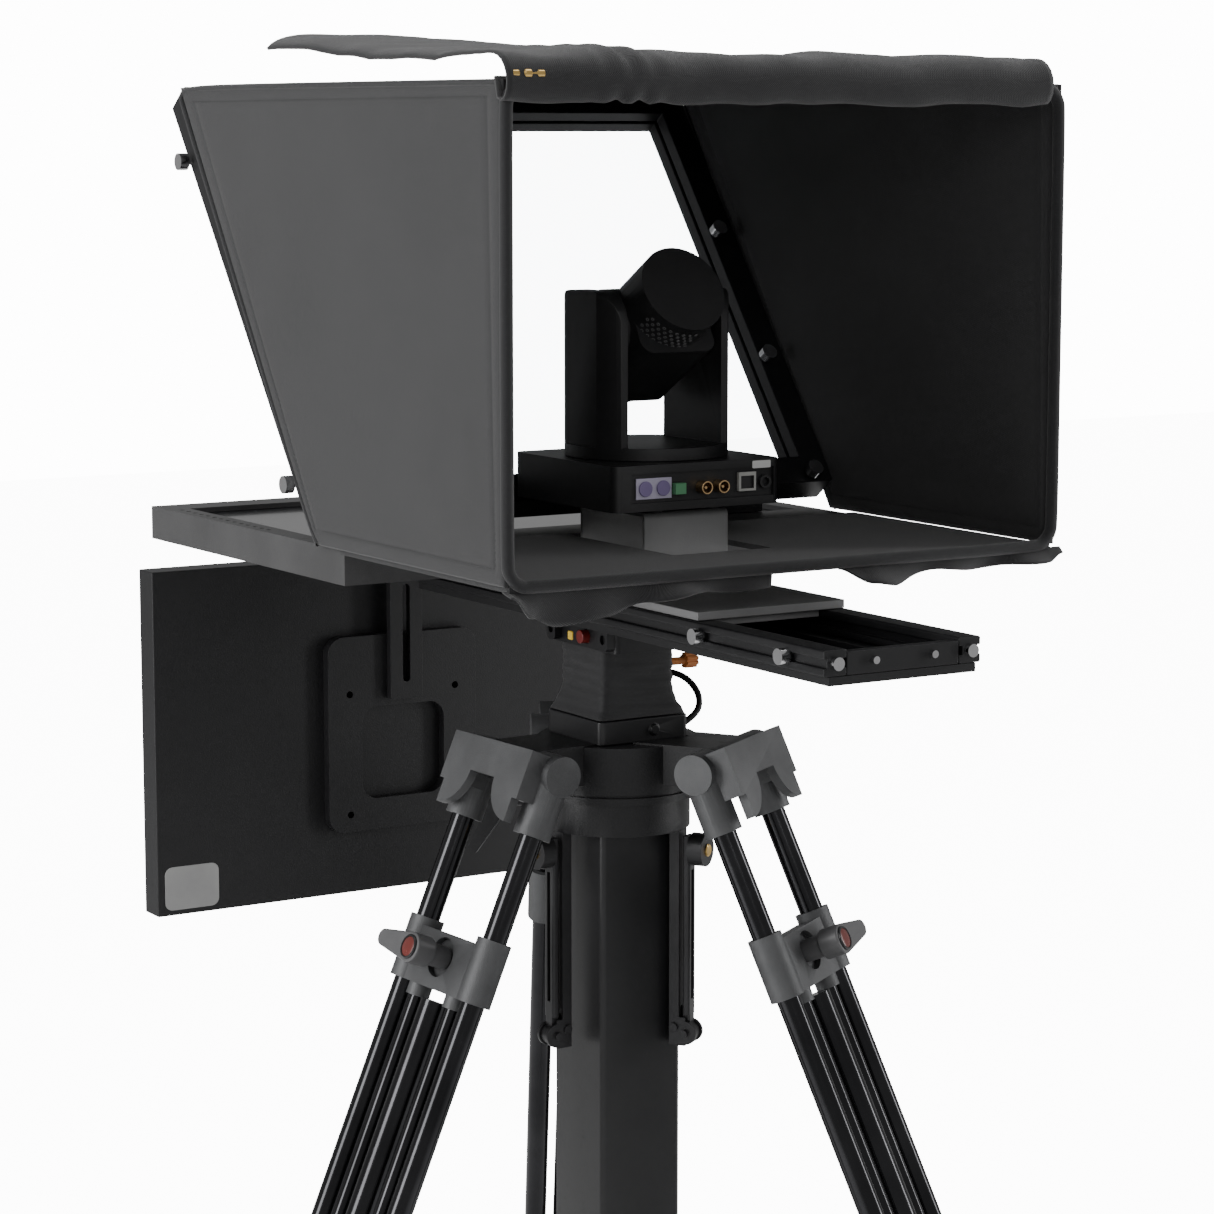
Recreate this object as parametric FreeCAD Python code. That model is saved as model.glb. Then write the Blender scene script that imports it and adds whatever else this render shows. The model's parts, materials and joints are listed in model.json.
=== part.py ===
"""Studio teleprompter on a lifting column and tripod, with a pan-tilt camera inside its hood.

Frame: millimetres, +Z up, origin on the floor under the column's axis.  +X is the operator's
right hand and +Y points to the person who reads the text.  From the floor up the rig is a
tripod whose hub carries a square lifting column, a quick-release block on the column's moving
stage, a slide rail that carries the monitor tray, the slanted beam-splitter frame, the camera
and the fabric hood, and a second monitor that hangs under the tray.
"""

import FreeCAD
import Part
import math
import os

V = FreeCAD.Vector
X_AXIS, Y_AXIS, Z_AXIS = V(1, 0, 0), V(0, 1, 0), V(0, 0, 1)

# ---------------------------------------------------------------- driving dimensions
FIT_GAP = 0.25              # clearance between pieces that sit in or beside each other
SLIDE_GAP = 0.4             # clearance round a piece that slides
RUNNING_GAP = 0.05          # radial clearance of a pin or a tube in its bore

# hood
HOOD_WIDTH = 460.0          # over the outer faces of the side panels
HOOD_HEIGHT = 329.0
HOOD_FLOOR_DEPTH = 276.0    # the side panels' front edges slant from here to the top
HOOD_SLANT = 33.65          # of those edges, from the vertical
HOOD_FLOOR_Z = 920.0        # upper face of the hood's floor
HOOD_REAR_Y = -230.0
PANEL_T = 4.0               # stiff board covered with fabric
HOOP_R = 4.5                # piping round the rear opening
HOOP_CORNER_R = 16.0
COVER_LENGTH = 335.0        # soft rear cover, thrown back over the hood
COVER_ROLL = 14.0           # thickness of its rolled rear edge
COVER_LIFT = 26.0           # rise of its free edge above the hood
COVER_EDGE = 6.0
SKIRT_DROP = 14.0

# slanted frame and its glass
FRAME_LEAN = 36.8           # from the vertical, towards the reader at the top
FRAME_FOOT_SHIFT = 8.5      # frame's front face ahead of the side panels' foot
FRAME_BAR_W = 24.0
FRAME_BAR_T = 26.0
FRAME_START = 9.0           # from the hood's floor up the lean to the frame's lower end
FRAME_TOP_CLEAR = 17.9      # from its upper end up the lean to the hood's top
GLASS_T = 3.0
GLASS_LAP = 6.0             # how far the glass runs into the frame's groove
THUMB_HEAD_R = 6.5
THUMB_HEAD_H = 7.0
THUMB_NECK_R = 2.5
INNER_SCREW_RISES = (16.0, 125.0, 246.0)
OUTER_SCREW_INSET = (48.0, 46.0)  # from the frame's lower and upper ends

# monitor tray with the text screen
TRAY_WIDTH = 445.0
TRAY_LENGTH = 337.0
TRAY_HEIGHT = 26.0
TRAY_REAR_Y = 12.0
TRAY_DROP = 1.0             # tray top below the hood's floor
SHEET_T = 1.5
SCREEN_WIDTH = 408.0        # visible picture, 16 to 10
SCREEN_HEIGHT = 255.0
SCREEN_RECESS = 4.0
SCREEN_T = 11.0
VENT_R = 2.0
VENT_PITCH = 12.0
VENT_COUNT = 14

# slide rail under the hood
RAIL_LENGTH = 560.0
RAIL_REAR_Y = -358.0
RAIL_SPAN = 128.0           # over the outer faces of the two rails
RAIL_W = 18.0
RAIL_H = 18.0
BASE_T = 6.0
BASE_INSET = 4.0
RAIL_TOP_Z = 882.0
STUD_R = 5.5                # bright screws on the rails
STUD_H = 7.0
BASE_HOLE_R = 5.0           # for 3/8 inch screws
BASE_HOLE_PITCH = 80.0

# camera riser on the rails
RISER_PLATE_T = 6.0
RISER_W = 72.0
RISER_REAR_Y = -95.0
RISER_SHEET = 3.0
CARRIAGE_BACK = 40.0        # travel of the camera towards the operator
CARRIAGE_FORWARD = 8.0
CARRIAGE_TAIL = 110.0       # plate behind the riser

# quick-release block
QR_W = 68.0
QR_LENGTH = 90.0
QR_H = 22.0
QR_SHIFT_Y = -8.0
BUTTON_R = 5.0
BUTTON_H = 6.0
QR_LUG = 7.0                # lugs past the block's sides
QR_KNOB_R = 6.0
QR_KNOB_H = 10.0
KNOB_STEM_R = 3.0
KNOB_STEM_L = 8.0           # length of the stem inside the cap
KNOB_REACH = 14.0           # of the stem outside it
STAGE_KNOB_Y = -24.0
STAGE_KNOB_DROP = 14.0      # below the stage's top

# lifting column
COLUMN_SIDE = 70.0
COLUMN_WALL = 3.0
COLUMN_FOOT_Z = 120.0
FLANGE_LAP = 4.0            # flange past each face of the column
FLANGE_H = 18.0
FLANGE_TOP_Z = 784.0
STAGE_LINER = 5.0           # guide space between the column and its moving stage
STAGE_WALL = 3.0
STAGE_OVERLAP = 380.0       # length of the moving stage inside the column
STAGE_CAP_T = 18.0
BELLOWS_EASE = 3.0          # sleeve outside each face of the stage
BELLOWS_FOOT_INSET = 1.0
BELLOWS_FOLDS = 7
BELLOWS_FOLD_DEPTH = 2.2
CABLE_R = 2.5
CABLE_SINK = 3.0            # length of each end inside the flange

# tripod hub
HUB_RIM = 5.0               # hub past the ring below it
HUB_TOP_Z = 766.0
HUB_H = 44.0
HUB_RING_WALL = 5.5         # outside the column's corners
HUB_RING_H = 24.0
PIVOT_PAST_HUB = 29.0       # leg pivots outside the hub's rim
PIVOT_Z = 752.0
PIVOT_PIN_R = 5.0
PIN_REACH = 4.0             # pivot pin past the tubes' axes
HUB_LEVER_HEADING = 136.0   # between the left and the far leg
LOBE_R = 15.0

# legs
LEG_TURN = 3.0              # hub turned a little on the column
LEG_HEADINGS = tuple(LEG_TURN + step for step in (180.0, -60.0, 60.0))
LEG_ANGLE = 23.5            # from the vertical
TUBE_SPREAD = 92.0          # between the twin tubes' axes
TUBE_R = 9.0
TUBE_WALL = 1.5
UPPER_TUBE_LENGTH = 500.0
SOCKET_R = 14.0
SOCKET_LENGTH = 48.0
LOBE_CLEAR = 1.0            # between the hub's lobe and the yoke's cheeks
BARREL_SEAM = 200.0         # keeps each barrel's seam clear of the web
CHEEK_T = 0.6               # of the yoke's cheeks inside its sockets
TUBE_TOP = -16.0            # tube's upper end below the pivot
YOKE_GAP = 6.0              # between the hub's lobe and the yoke's web
YOKE_WEB_T = 7.0
YOKE_WEB_TOP = 11.0
GUSSET = 30.0               # width of each rounded gusset beside a socket
ARCH_Z = -15.0
MID_CLAMP_AT = 128.0        # from the pivot down the leg to the clamp's top
MID_CLAMP_H = 48.0
MID_TUBE_R = 6.0
MID_TUBE_WALL = 1.2
MID_COLLAR_H = 9.0
MID_TUBE_SPREAD = 50.0
MID_TUBE_LENGTH = 345.0
LOWER_CLAMP_H = 50.0
LOWER_TUBE_R = 11.0
FOOT_R = 19.0
FOOT_GRIP = 28.0            # from the floor up the leg to the tube's end
MID_WEB_T = 18.0            # plate between the clamp's two barrels
LEVER_POCKET_R = 15.0       # round pocket in that plate
LEVER_POCKET_DEPTH = 5.0
LEVER_STEM_R = 8.5
LEVER_REACH = 17.0          # of the stem out of the pocket's floor
LEVER_R = 11.5              # of the grip round the stem
LEVER_TIP_R = 6.5
LEVER_LENGTH = 38.0         # from the stem to the tip's centre
LEVER_H = 17.0
LEVER_TURNS = (0.0, 180.0, 0.0)   # how far each leg's grip is turned about its stem

# braces beside the column
BRACE_RAIL_W = 14.0
BRACE_RAIL_T = 8.0
BRACE_RAIL_LENGTH = 143.0
BRACE_ARM_W = 12.0
BRACE_ARM_T = 6.0
BRACE_ARM_LENGTH = 151.0
BRACE_KNOB_R = 12.5
BRACE_KNOB_H = 12.0
BRACE_HINGE_R = 9.0
BRACE_EYE_R = 7.5           # rounded foot of the swinging arm
BRACE_TONGUE = 8.0          # width of the arm's hinge tongue
BRACE_PIN_R = 3.0

# hanging monitor
TALENT_WIDTH = 445.0
TALENT_HEIGHT = 284.0
TALENT_T = 26.0
TALENT_AHEAD = 2.0          # its back ahead of the tray's front
TALENT_DROP = 7.0           # its top edge below the tilt pivot
VESA_W = 140.0
VESA_H = 165.0
VESA_T = 9.0
VESA_WINDOW = 78.0
VESA_DROP = 65.0            # plate's top edge below the monitor's top edge
TILT_PIVOT_BACK = 27.0      # behind the tray's front
TILT_PIVOT_DROP = 21.0      # below the tray
ARM_W = 30.0
ARM_T = 7.0

# pan-tilt camera
CAM_Y = -40.0
CAM_BASE_W = 142.0
CAM_BASE_D = 142.0
CAM_BASE_H = 33.0
CAM_BASE_Z = 948.0
CAM_FOOT_H = 3.0
PORT_LEFT = -57.0           # ends of the recess for the rear sockets
PORT_RIGHT = 65.0
PORT_PLATE_X = -37.0
COAX_X = 3.5
COAX_STEP = 14.5
NETWORK_X = 42.0
PORT_RECESS = 3.0
YOKE_DISC_R = 60.0
YOKE_DISC_H = 9.0
YOKE_ARM_IN = 40.0          # inner face of each arm from the middle
YOKE_ARM_T = 16.0
YOKE_ARM_D = 78.0
YOKE_ARM_H = 121.0
HEAD_R = 33.5
HEAD_LENGTH = 116.0
HEAD_SIDE = 2 * (YOKE_ARM_IN - 3.0)
HEAD_TILT = -31.0           # lens below the horizontal
LENS_R = 26.0
LENS_H = 12.0
TRUNNION_R = 14.0
PIVOT_BELOW_ARM_TOP = 28.0

# ---------------------------------------------------------------- places worked out from them
HALF_HOOD = HOOD_WIDTH / 2
INNER_HALF = HALF_HOOD - PANEL_T
HOOD_TOP_Z = HOOD_FLOOR_Z + HOOD_HEIGHT
HOOD_TOP_DEPTH = HOOD_FLOOR_DEPTH + HOOD_HEIGHT * math.tan(math.radians(HOOD_SLANT))
HOOD_TOP_Y = HOOD_REAR_Y + HOOD_TOP_DEPTH
HOOD_FOOT_Y = HOOD_REAR_Y + HOOD_FLOOR_DEPTH
FRAME_FOOT_Y = HOOD_FOOT_Y + FRAME_FOOT_SHIFT
FRAME_LENGTH = (HOOD_HEIGHT / math.cos(math.radians(FRAME_LEAN))
                - FRAME_START - FRAME_TOP_CLEAR)
OUTER_SCREW_RISES = (OUTER_SCREW_INSET[0], FRAME_LENGTH - OUTER_SCREW_INSET[1])
TRAY_TOP_Z = HOOD_FLOOR_Z - TRAY_DROP
TRAY_BOTTOM_Z = TRAY_TOP_Z - TRAY_HEIGHT
TRAY_FRONT_Y = TRAY_REAR_Y + TRAY_LENGTH
TILT_PIVOT_Y = TRAY_FRONT_Y - TILT_PIVOT_BACK
TILT_PIVOT_Z = TRAY_BOTTOM_Z - TILT_PIVOT_DROP
TALENT_REAR_Y = TRAY_FRONT_Y + TALENT_AHEAD
TALENT_TOP_Z = TILT_PIVOT_Z - TALENT_DROP
RAIL_BOTTOM_Z = RAIL_TOP_Z - RAIL_H
BASE_BOTTOM_Z = RAIL_BOTTOM_Z - BASE_T
QR_BOTTOM_Z = BASE_BOTTOM_Z - QR_H
STAGE_TOP_Z = QR_BOTTOM_Z
HUB_BOTTOM_Z = HUB_TOP_Z - HUB_H
STAGE_SIDE = COLUMN_SIDE - 2 * (COLUMN_WALL + STAGE_LINER)
FLANGE_SIDE = COLUMN_SIDE + 2 * FLANGE_LAP
BELLOWS_TOP_SIDE = STAGE_SIDE + 2 * BELLOWS_EASE
BELLOWS_FOOT_SIDE = FLANGE_SIDE - 2 * BELLOWS_FOOT_INSET
HUB_RING_R = COLUMN_SIDE / math.sqrt(2) + HUB_RING_WALL
HUB_R = HUB_RING_R + HUB_RIM
PIVOT_RADIUS = HUB_R + PIVOT_PAST_HUB
LOBE_W = TUBE_SPREAD - 2 * (SOCKET_R + CHEEK_T + LOBE_CLEAR)
LEG_TO_FLOOR = PIVOT_Z / math.cos(math.radians(LEG_ANGLE))


# ---------------------------------------------------------------- helpers
def box(x0, x1, y0, y1, z0, z1):
    return Part.makeBox(x1 - x0, y1 - y0, z1 - z0, V(x0, y0, z0))


def cylinder(radius, start, end):
    axis = end - start
    return Part.makeCylinder(radius, axis.Length, start, axis)


def tube(radius, wall, start, end):
    return cylinder(radius, start, end).cut(cylinder(radius - wall, start, end))


def prism(points, direction):
    """A straight extrusion of a closed outline."""
    wire = Part.makePolygon([V(*p) for p in points] + [V(*points[0])])
    return Part.Face(wire).extrude(direction)


def rounded(shape, radius, keep):
    """shape with a fillet on every straight edge that keep accepts."""
    edges = [e for e in shape.Edges if keep(e)]
    return shape.makeFillet(radius, edges) if edges else shape


def along(axis):
    """Accepts straight edges that run along an axis."""
    def test(edge):
        if not isinstance(edge.Curve, (Part.Line, Part.LineSegment)):
            return False
        return abs(edge.tangentAt(edge.FirstParameter).dot(axis)) > 0.999
    return test


def turned(shape, centre, axis, degrees):
    copy = shape.copy()
    copy.rotate(centre, axis, degrees)
    return copy


def fused(shapes):
    first = shapes[0]
    return first.fuse(shapes[1:]).removeSplitter() if len(shapes) > 1 else first


def mirrored(shape):
    """The same shape on the other side of the rig's middle plane."""
    return shape.mirror(V(0, 0, 0), X_AXIS)


def write(name, *shapes):
    solids = [s for shape in shapes for s in shape.Solids]
    body = solids[0] if len(solids) == 1 else Part.makeCompound(solids)
    body.exportStep(os.path.join("parts", name + ".step"))
    print(name, len(solids), round(sum(s.Volume for s in solids)))


def on_lean(shape):
    """Moves a shape drawn flat (X across, Y up the lean, Z into the hood) onto the frame's plane."""
    copy = shape.copy()
    copy.rotate(V(0, 0, 0), X_AXIS, 90.0 - FRAME_LEAN)
    copy.translate(V(0, FRAME_FOOT_Y, HOOD_FLOOR_Z))
    return copy


def on_leg(shape, heading):
    """Moves a shape drawn on a vertical leg (pivot at the origin, +X outwards) to its place."""
    copy = shape.copy()
    copy.rotate(V(0, 0, 0), Y_AXIS, -LEG_ANGLE)
    copy.translate(V(PIVOT_RADIUS, 0, PIVOT_Z))
    copy.rotate(V(0, 0, 0), Z_AXIS, heading)
    return copy


def at_heading(shape, heading):
    return turned(shape, V(0, 0, 0), Z_AXIS, heading)


# ---------------------------------------------------------------- hood
def side_panel():
    """Board with a long top edge, a short bottom edge and a slanted front edge."""
    outline = [
        (HALF_HOOD, HOOD_REAR_Y, HOOD_FLOOR_Z),
        (HALF_HOOD, HOOD_FOOT_Y, HOOD_FLOOR_Z),
        (HALF_HOOD, HOOD_TOP_Y, HOOD_TOP_Z),
        (HALF_HOOD, HOOD_REAR_Y, HOOD_TOP_Z),
    ]
    return prism(outline, V(-PANEL_T, 0, 0))


def frame_rear_y(z):
    """Where the slanted frame's rear face stands at a height."""
    lean = math.radians(FRAME_LEAN)
    rise = z - HOOD_FLOOR_Z - FRAME_BAR_T * math.sin(lean)
    return FRAME_FOOT_Y + rise * math.tan(lean) - FRAME_BAR_T * math.cos(lean)


def make_hood():
    right = side_panel()
    write("hood_right_panel", right)
    write("hood_left_panel", mirrored(right))
    reach = INNER_HALF - FIT_GAP
    top_front = frame_rear_y(HOOD_TOP_Z - PANEL_T) - FIT_GAP
    write("hood_top_panel",
          box(-reach, reach, HOOD_REAR_Y, top_front, HOOD_TOP_Z - PANEL_T, HOOD_TOP_Z))
    floor = box(-reach, reach, HOOD_REAR_Y, TRAY_REAR_Y - FIT_GAP,
                HOOD_FLOOR_Z - PANEL_T, HOOD_FLOOR_Z)
    slot_half = RISER_W / 2 + 6.0
    slot_rear = RISER_REAR_Y - CARRIAGE_BACK - 8.0
    slot = box(-slot_half, slot_half, slot_rear, TRAY_REAR_Y, HOOD_FLOOR_Z - 2 * PANEL_T,
               HOOD_FLOOR_Z + PANEL_T)
    write("hood_floor_panel", floor.cut(slot))
    make_hoop()
    make_cover()


def make_hoop():
    """Round piping sewn to the rear edges of the four panels, and two loose skirt flaps."""
    across, up = HALF_HOOD - HOOP_R, HOOD_HEIGHT - HOOP_R
    rear = HOOD_REAR_Y - HOOP_R - FIT_GAP
    outer = box(-HALF_HOOD, HALF_HOOD, rear - HOOP_R, rear + HOOP_R, HOOD_FLOOR_Z - PANEL_T,
                HOOD_TOP_Z)
    thick = 2 * HOOP_R
    inner = box(-HALF_HOOD + thick, HALF_HOOD - thick, rear - 2 * HOOP_R, rear + 2 * HOOP_R,
                HOOD_FLOOR_Z - PANEL_T + thick, HOOD_TOP_Z - thick)
    outer = rounded(outer, HOOP_CORNER_R, along(Y_AXIS))
    inner = rounded(inner, HOOP_CORNER_R - thick / 2, along(Y_AXIS))
    hoop = outer.cut(inner)
    flap_top = HOOD_FLOOR_Z - PANEL_T - FIT_GAP
    flap_y = HOOD_REAR_Y + 2.0
    left = box(-HALF_HOOD + 6.0, -62.0, flap_y, flap_y + 3.0, flap_top - SKIRT_DROP, flap_top)
    right = box(58.0, HALF_HOOD - 1.0, flap_y, flap_y + 3.0, flap_top - SKIRT_DROP, flap_top)
    write("hood_rear_trim", hoop, left, right)


def make_cover():
    """The soft cover for the rear opening, folded back: a thick roll, then a rising thin sheet."""
    rear = HOOD_REAR_Y - 8.0
    lift = HOOD_TOP_Z + FIT_GAP
    left = -HALF_HOOD - 4.0
    free = rear + COVER_LENGTH
    outline = [
        (left, rear, lift),
        (left, rear + 0.20 * COVER_LENGTH, lift),
        (left, rear + 0.45 * COVER_LENGTH, lift + 0.60 * COVER_LIFT),
        (left, free, lift + COVER_LIFT),
        (left, free, lift + COVER_LIFT + COVER_EDGE),
        (left, rear + 0.50 * COVER_LENGTH, lift + COVER_LIFT + COVER_EDGE - 2.0),
        (left, rear + 6.0, lift + COVER_ROLL + 6.0),
        (left, rear, lift + COVER_ROLL),
    ]
    write("hood_cover", prism(outline, V(HOOD_WIDTH, 0, 0)))


# ---------------------------------------------------------------- slanted frame
def make_glass_frame():
    """Four grooved bars round the beam-splitter glass, on two feet that meet the tray."""
    half = INNER_HALF - FIT_GAP
    end = FRAME_START + FRAME_LENGTH
    outer = box(-half, half, FRAME_START, end, 0, FRAME_BAR_T)
    bar = FRAME_BAR_W
    window = box(-half + bar, half - bar, FRAME_START + bar, end - bar, -1.0, FRAME_BAR_T + 1.0)
    mid = FRAME_BAR_T / 2
    reach = bar - GLASS_LAP
    thick = GLASS_T / 2 + FIT_GAP / 2
    groove = box(-half + reach, half - reach, FRAME_START + reach, end - reach,
                 mid - thick, mid + thick)
    inset = reach + FIT_GAP
    glass = box(-half + inset, half - inset, FRAME_START + inset, end - inset,
                mid - GLASS_T / 2, mid + GLASS_T / 2)
    frame = on_lean(rounded(outer, 3.0, along(Z_AXIS)).cut(window).cut(groove))
    foot_y = FRAME_FOOT_Y + 2.0
    feet = [box(x - 20.0, x + 20.0, foot_y, foot_y + 12.0, TRAY_TOP_Z + FIT_GAP,
                HOOD_FLOOR_Z + 20.0) for x in (-150.0, 150.0)]
    write("glass_frame", fused([frame] + feet))
    write("beamsplitter_glass", on_lean(glass))
    make_frame_screws(half)


def make_frame_screws(half):
    """Knurled screws: three up each upright's inner face, two on each outer side."""
    screws = []
    for rise in INNER_SCREW_RISES:
        seat = V(half - 0.85 * FRAME_BAR_W, rise, FRAME_BAR_T + FIT_GAP)
        neck_top = seat + V(0, 0, 4.0)
        screws.append(fused([cylinder(THUMB_NECK_R, seat, neck_top),
                             cylinder(THUMB_HEAD_R, neck_top, neck_top + V(0, 0, THUMB_HEAD_H))]))
    for rise in OUTER_SCREW_RISES:
        seat = V(half + FIT_GAP, rise, 4.0)
        neck_top = V(HALF_HOOD + 2 * FIT_GAP, rise, 4.0)
        screws.append(fused([cylinder(THUMB_NECK_R, seat, neck_top),
                             cylinder(THUMB_HEAD_R, neck_top, neck_top + V(THUMB_HEAD_H, 0, 0))]))
    placed = [on_lean(screw) for screw in screws]
    write("frame_thumbscrews", *placed, *[mirrored(screw) for screw in placed])


# ---------------------------------------------------------------- monitors
def monitor_shell(width, length, height, window_shift):
    """Sheet-metal case lying flat with its picture window on top: pan, and a lid with a window."""
    outer = box(-width / 2, width / 2, 0, length, 0, height)
    inner = box(-width / 2 + SHEET_T, width / 2 - SHEET_T, SHEET_T, length - SHEET_T, SHEET_T,
                height - SCREEN_RECESS)
    low = (length - SCREEN_HEIGHT) / 2 + window_shift
    window = box(-SCREEN_WIDTH / 2, SCREEN_WIDTH / 2, low, low + SCREEN_HEIGHT,
                 height - 2 * SCREEN_RECESS, height + 1.0)
    panel = box(-SCREEN_WIDTH / 2 - 5.0, SCREEN_WIDTH / 2 + 5.0, low - 5.0,
                low + SCREEN_HEIGHT + 5.0, height - SCREEN_RECESS - SCREEN_T,
                height - SCREEN_RECESS - FIT_GAP)
    return outer.cut(inner).cut(window), panel


def make_tray():
    shell, panel = monitor_shell(TRAY_WIDTH, TRAY_LENGTH, TRAY_HEIGHT, 8.0)
    vents = []
    side = TRAY_WIDTH / 2 - 9.0
    for i in range(VENT_COUNT):
        y = TRAY_LENGTH - 40.0 - i * VENT_PITCH
        for x in (-side, side):
            vents.append(cylinder(VENT_R, V(x, y, TRAY_HEIGHT - SCREEN_RECESS - 1.0),
                                  V(x, y, TRAY_HEIGHT + 1.0)))
    place = V(0, TRAY_REAR_Y, TRAY_BOTTOM_Z)
    shell = shell.cut(Part.makeCompound(vents))
    for shape in (shell, panel):
        shape.translate(place)
    write("prompter_housing", shell)
    write("prompter_screen", panel)


def make_talent_monitor():
    """Second screen, upright, its picture towards the reader, on a plate and a slotted arm."""
    shell, panel = monitor_shell(TALENT_WIDTH, TALENT_HEIGHT, TALENT_T, 0.0)
    for shape in (shell, panel):
        # stands the case up: its length becomes height and its window faces +Y
        shape.rotate(V(0, 0, 0), X_AXIS, 90.0)
        shape.mirror(V(0, 0, 0), Y_AXIS)
        shape.rotate(V(0, 0, 0), Z_AXIS, 180.0)
        shape.translate(V(0, TALENT_REAR_Y, TALENT_TOP_Z - TALENT_HEIGHT))
    write("talent_housing", shell)
    write("talent_screen", panel)
    back = TALENT_REAR_Y - FIT_GAP
    top = TALENT_TOP_Z - VESA_DROP
    plate = box(-VESA_W / 2, VESA_W / 2, back - VESA_T, back, top - VESA_H, top)
    plate = rounded(plate, 14.0, along(Y_AXIS))
    window_top = top - VESA_H / 2 + 22.0
    window = box(-VESA_WINDOW / 2, VESA_WINDOW / 2, back - 2 * VESA_T, back + 1.0,
                 window_top - VESA_WINDOW, window_top)
    plate = plate.cut(rounded(window, 14.0, along(Y_AXIS)))
    holes = [cylinder(3.0, V(x, back - 2 * VESA_T, z), V(x, back + 1.0, z))
             for x in (-50.0, 50.0) for z in (window_top + 12.0, window_top - VESA_WINDOW - 12.0)]
    plate = plate.cut(Part.makeCompound(holes))
    # arm: a flat bar from the tilt pin down over the plate, with a slot for height
    write("talent_mount_plate", plate)
    arm_front = back - VESA_T - FIT_GAP
    arm_low = window_top + 6.0
    bar = box(-ARM_W / 2, ARM_W / 2, arm_front - ARM_T, arm_front, arm_low,
              TILT_PIVOT_Z)
    slot = rounded(box(-3.5, 3.5, arm_front - 2 * ARM_T, arm_front + 1.0, arm_low + 14.0,
                       TILT_PIVOT_Z - 30.0), 3.4, along(Y_AXIS))
    barrel = cylinder(10.0, V(-ARM_W / 2, TILT_PIVOT_Y, TILT_PIVOT_Z),
                      V(ARM_W / 2, TILT_PIVOT_Y, TILT_PIVOT_Z))
    bridge = box(-ARM_W / 2, ARM_W / 2, TILT_PIVOT_Y, arm_front, TILT_PIVOT_Z - 10.0,
                 TILT_PIVOT_Z - 2.0)
    pin_hole = cylinder(PIVOT_PIN_R + RUNNING_GAP, V(-ARM_W, TILT_PIVOT_Y, TILT_PIVOT_Z),
                        V(ARM_W, TILT_PIVOT_Y, TILT_PIVOT_Z))
    arm = fused([bar, barrel, bridge]).cut(slot).cut(pin_hole)
    write("talent_arm", arm)
    # clevis under the tray with the tilt pin through it
    ear_in, ear_t = ARM_W / 2 + 1.0, 5.0
    ears = []
    for side in (-1, 1):
        x0, x1 = sorted((side * ear_in, side * (ear_in + ear_t)))
        ears.append(box(x0, x1, TILT_PIVOT_Y - 12.0, TILT_PIVOT_Y + 12.0, TILT_PIVOT_Z - 12.0,
                        TRAY_BOTTOM_Z - FIT_GAP))
    span = ear_in + ear_t
    foot = box(-span, span, TILT_PIVOT_Y - 40.0, TILT_PIVOT_Y + 20.0,
               TRAY_BOTTOM_Z - 5.0, TRAY_BOTTOM_Z - FIT_GAP)
    pin = cylinder(PIVOT_PIN_R, V(-span, TILT_PIVOT_Y, TILT_PIVOT_Z),
                   V(span, TILT_PIVOT_Y, TILT_PIVOT_Z))
    write("talent_hanger", fused([foot, pin] + ears))


# ---------------------------------------------------------------- slide rail
def make_rails():
    front = RAIL_REAR_Y + RAIL_LENGTH
    half = RAIL_SPAN / 2
    base = box(-half + BASE_INSET, half - BASE_INSET, RAIL_REAR_Y, front, BASE_BOTTOM_Z,
               RAIL_BOTTOM_Z)
    holes = [cylinder(BASE_HOLE_R, V(0, y, BASE_BOTTOM_Z - 1.0), V(0, y, RAIL_BOTTOM_Z + 1.0))
             for y in (RAIL_REAR_Y + 60.0, RAIL_REAR_Y + 60.0 + BASE_HOLE_PITCH)]
    guides = [box(x - 2.0, x + 2.0, RAIL_REAR_Y + 30.0, front, RAIL_BOTTOM_Z,
                  RAIL_BOTTOM_Z + 4.0) for x in (-22.0, 22.0)]
    write("rail_base_plate", fused([base] + guides).cut(Part.makeCompound(holes)))
    rail = box(half - RAIL_W, half, RAIL_REAR_Y, front, RAIL_BOTTOM_Z + 0.1, RAIL_TOP_Z)
    groove = box(half - 2.5, half + 1.0, RAIL_REAR_Y - 1.0, front + 1.0, RAIL_BOTTOM_Z + 6.0,
                 RAIL_BOTTOM_Z + 12.0)
    inner_groove = box(half - RAIL_W - 1.0, half - RAIL_W + 3.0, RAIL_REAR_Y - 1.0, front + 1.0,
                       RAIL_BOTTOM_Z + 6.0, RAIL_BOTTOM_Z + 12.0)
    rail = rounded(rail, 1.5, along(Y_AXIS)).cut(groove).cut(inner_groove)
    cross_half = half - RAIL_W - FIT_GAP
    cross = box(-cross_half, cross_half, RAIL_REAR_Y, RAIL_REAR_Y + 8.0, RAIL_BOTTOM_Z + 0.1,
                RAIL_TOP_Z - 2.0)
    write("rail_bars", rail, mirrored(rail), cross)
    mid_z = RAIL_BOTTOM_Z + 9.0
    studs = []
    for y in (RAIL_REAR_Y + 43.0, RAIL_REAR_Y + 147.0):
        foot = V(half + FIT_GAP, y, mid_z)
        studs += [cylinder(STUD_R, foot, foot + V(STUD_H, 0, 0))]
    foot = V(half - RAIL_W / 2, RAIL_REAR_Y - FIT_GAP, mid_z)
    studs += [cylinder(STUD_R - 1.0, foot, foot - V(0, 4.0, 0))]
    small = V(half - 40.0, RAIL_REAR_Y - FIT_GAP, mid_z)
    studs += [cylinder(2.6, small, small - V(0, 3.0, 0))]
    write("rail_screws", *studs, *[mirrored(s) for s in studs])
    # two blocks join the rails to the tray's underside
    block = box(half - RAIL_W, half, TRAY_REAR_Y + 12.0, front - 8.0, RAIL_TOP_Z + FIT_GAP,
                TRAY_BOTTOM_Z - FIT_GAP)
    write("tray_blocks", block, mirrored(block))


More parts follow.
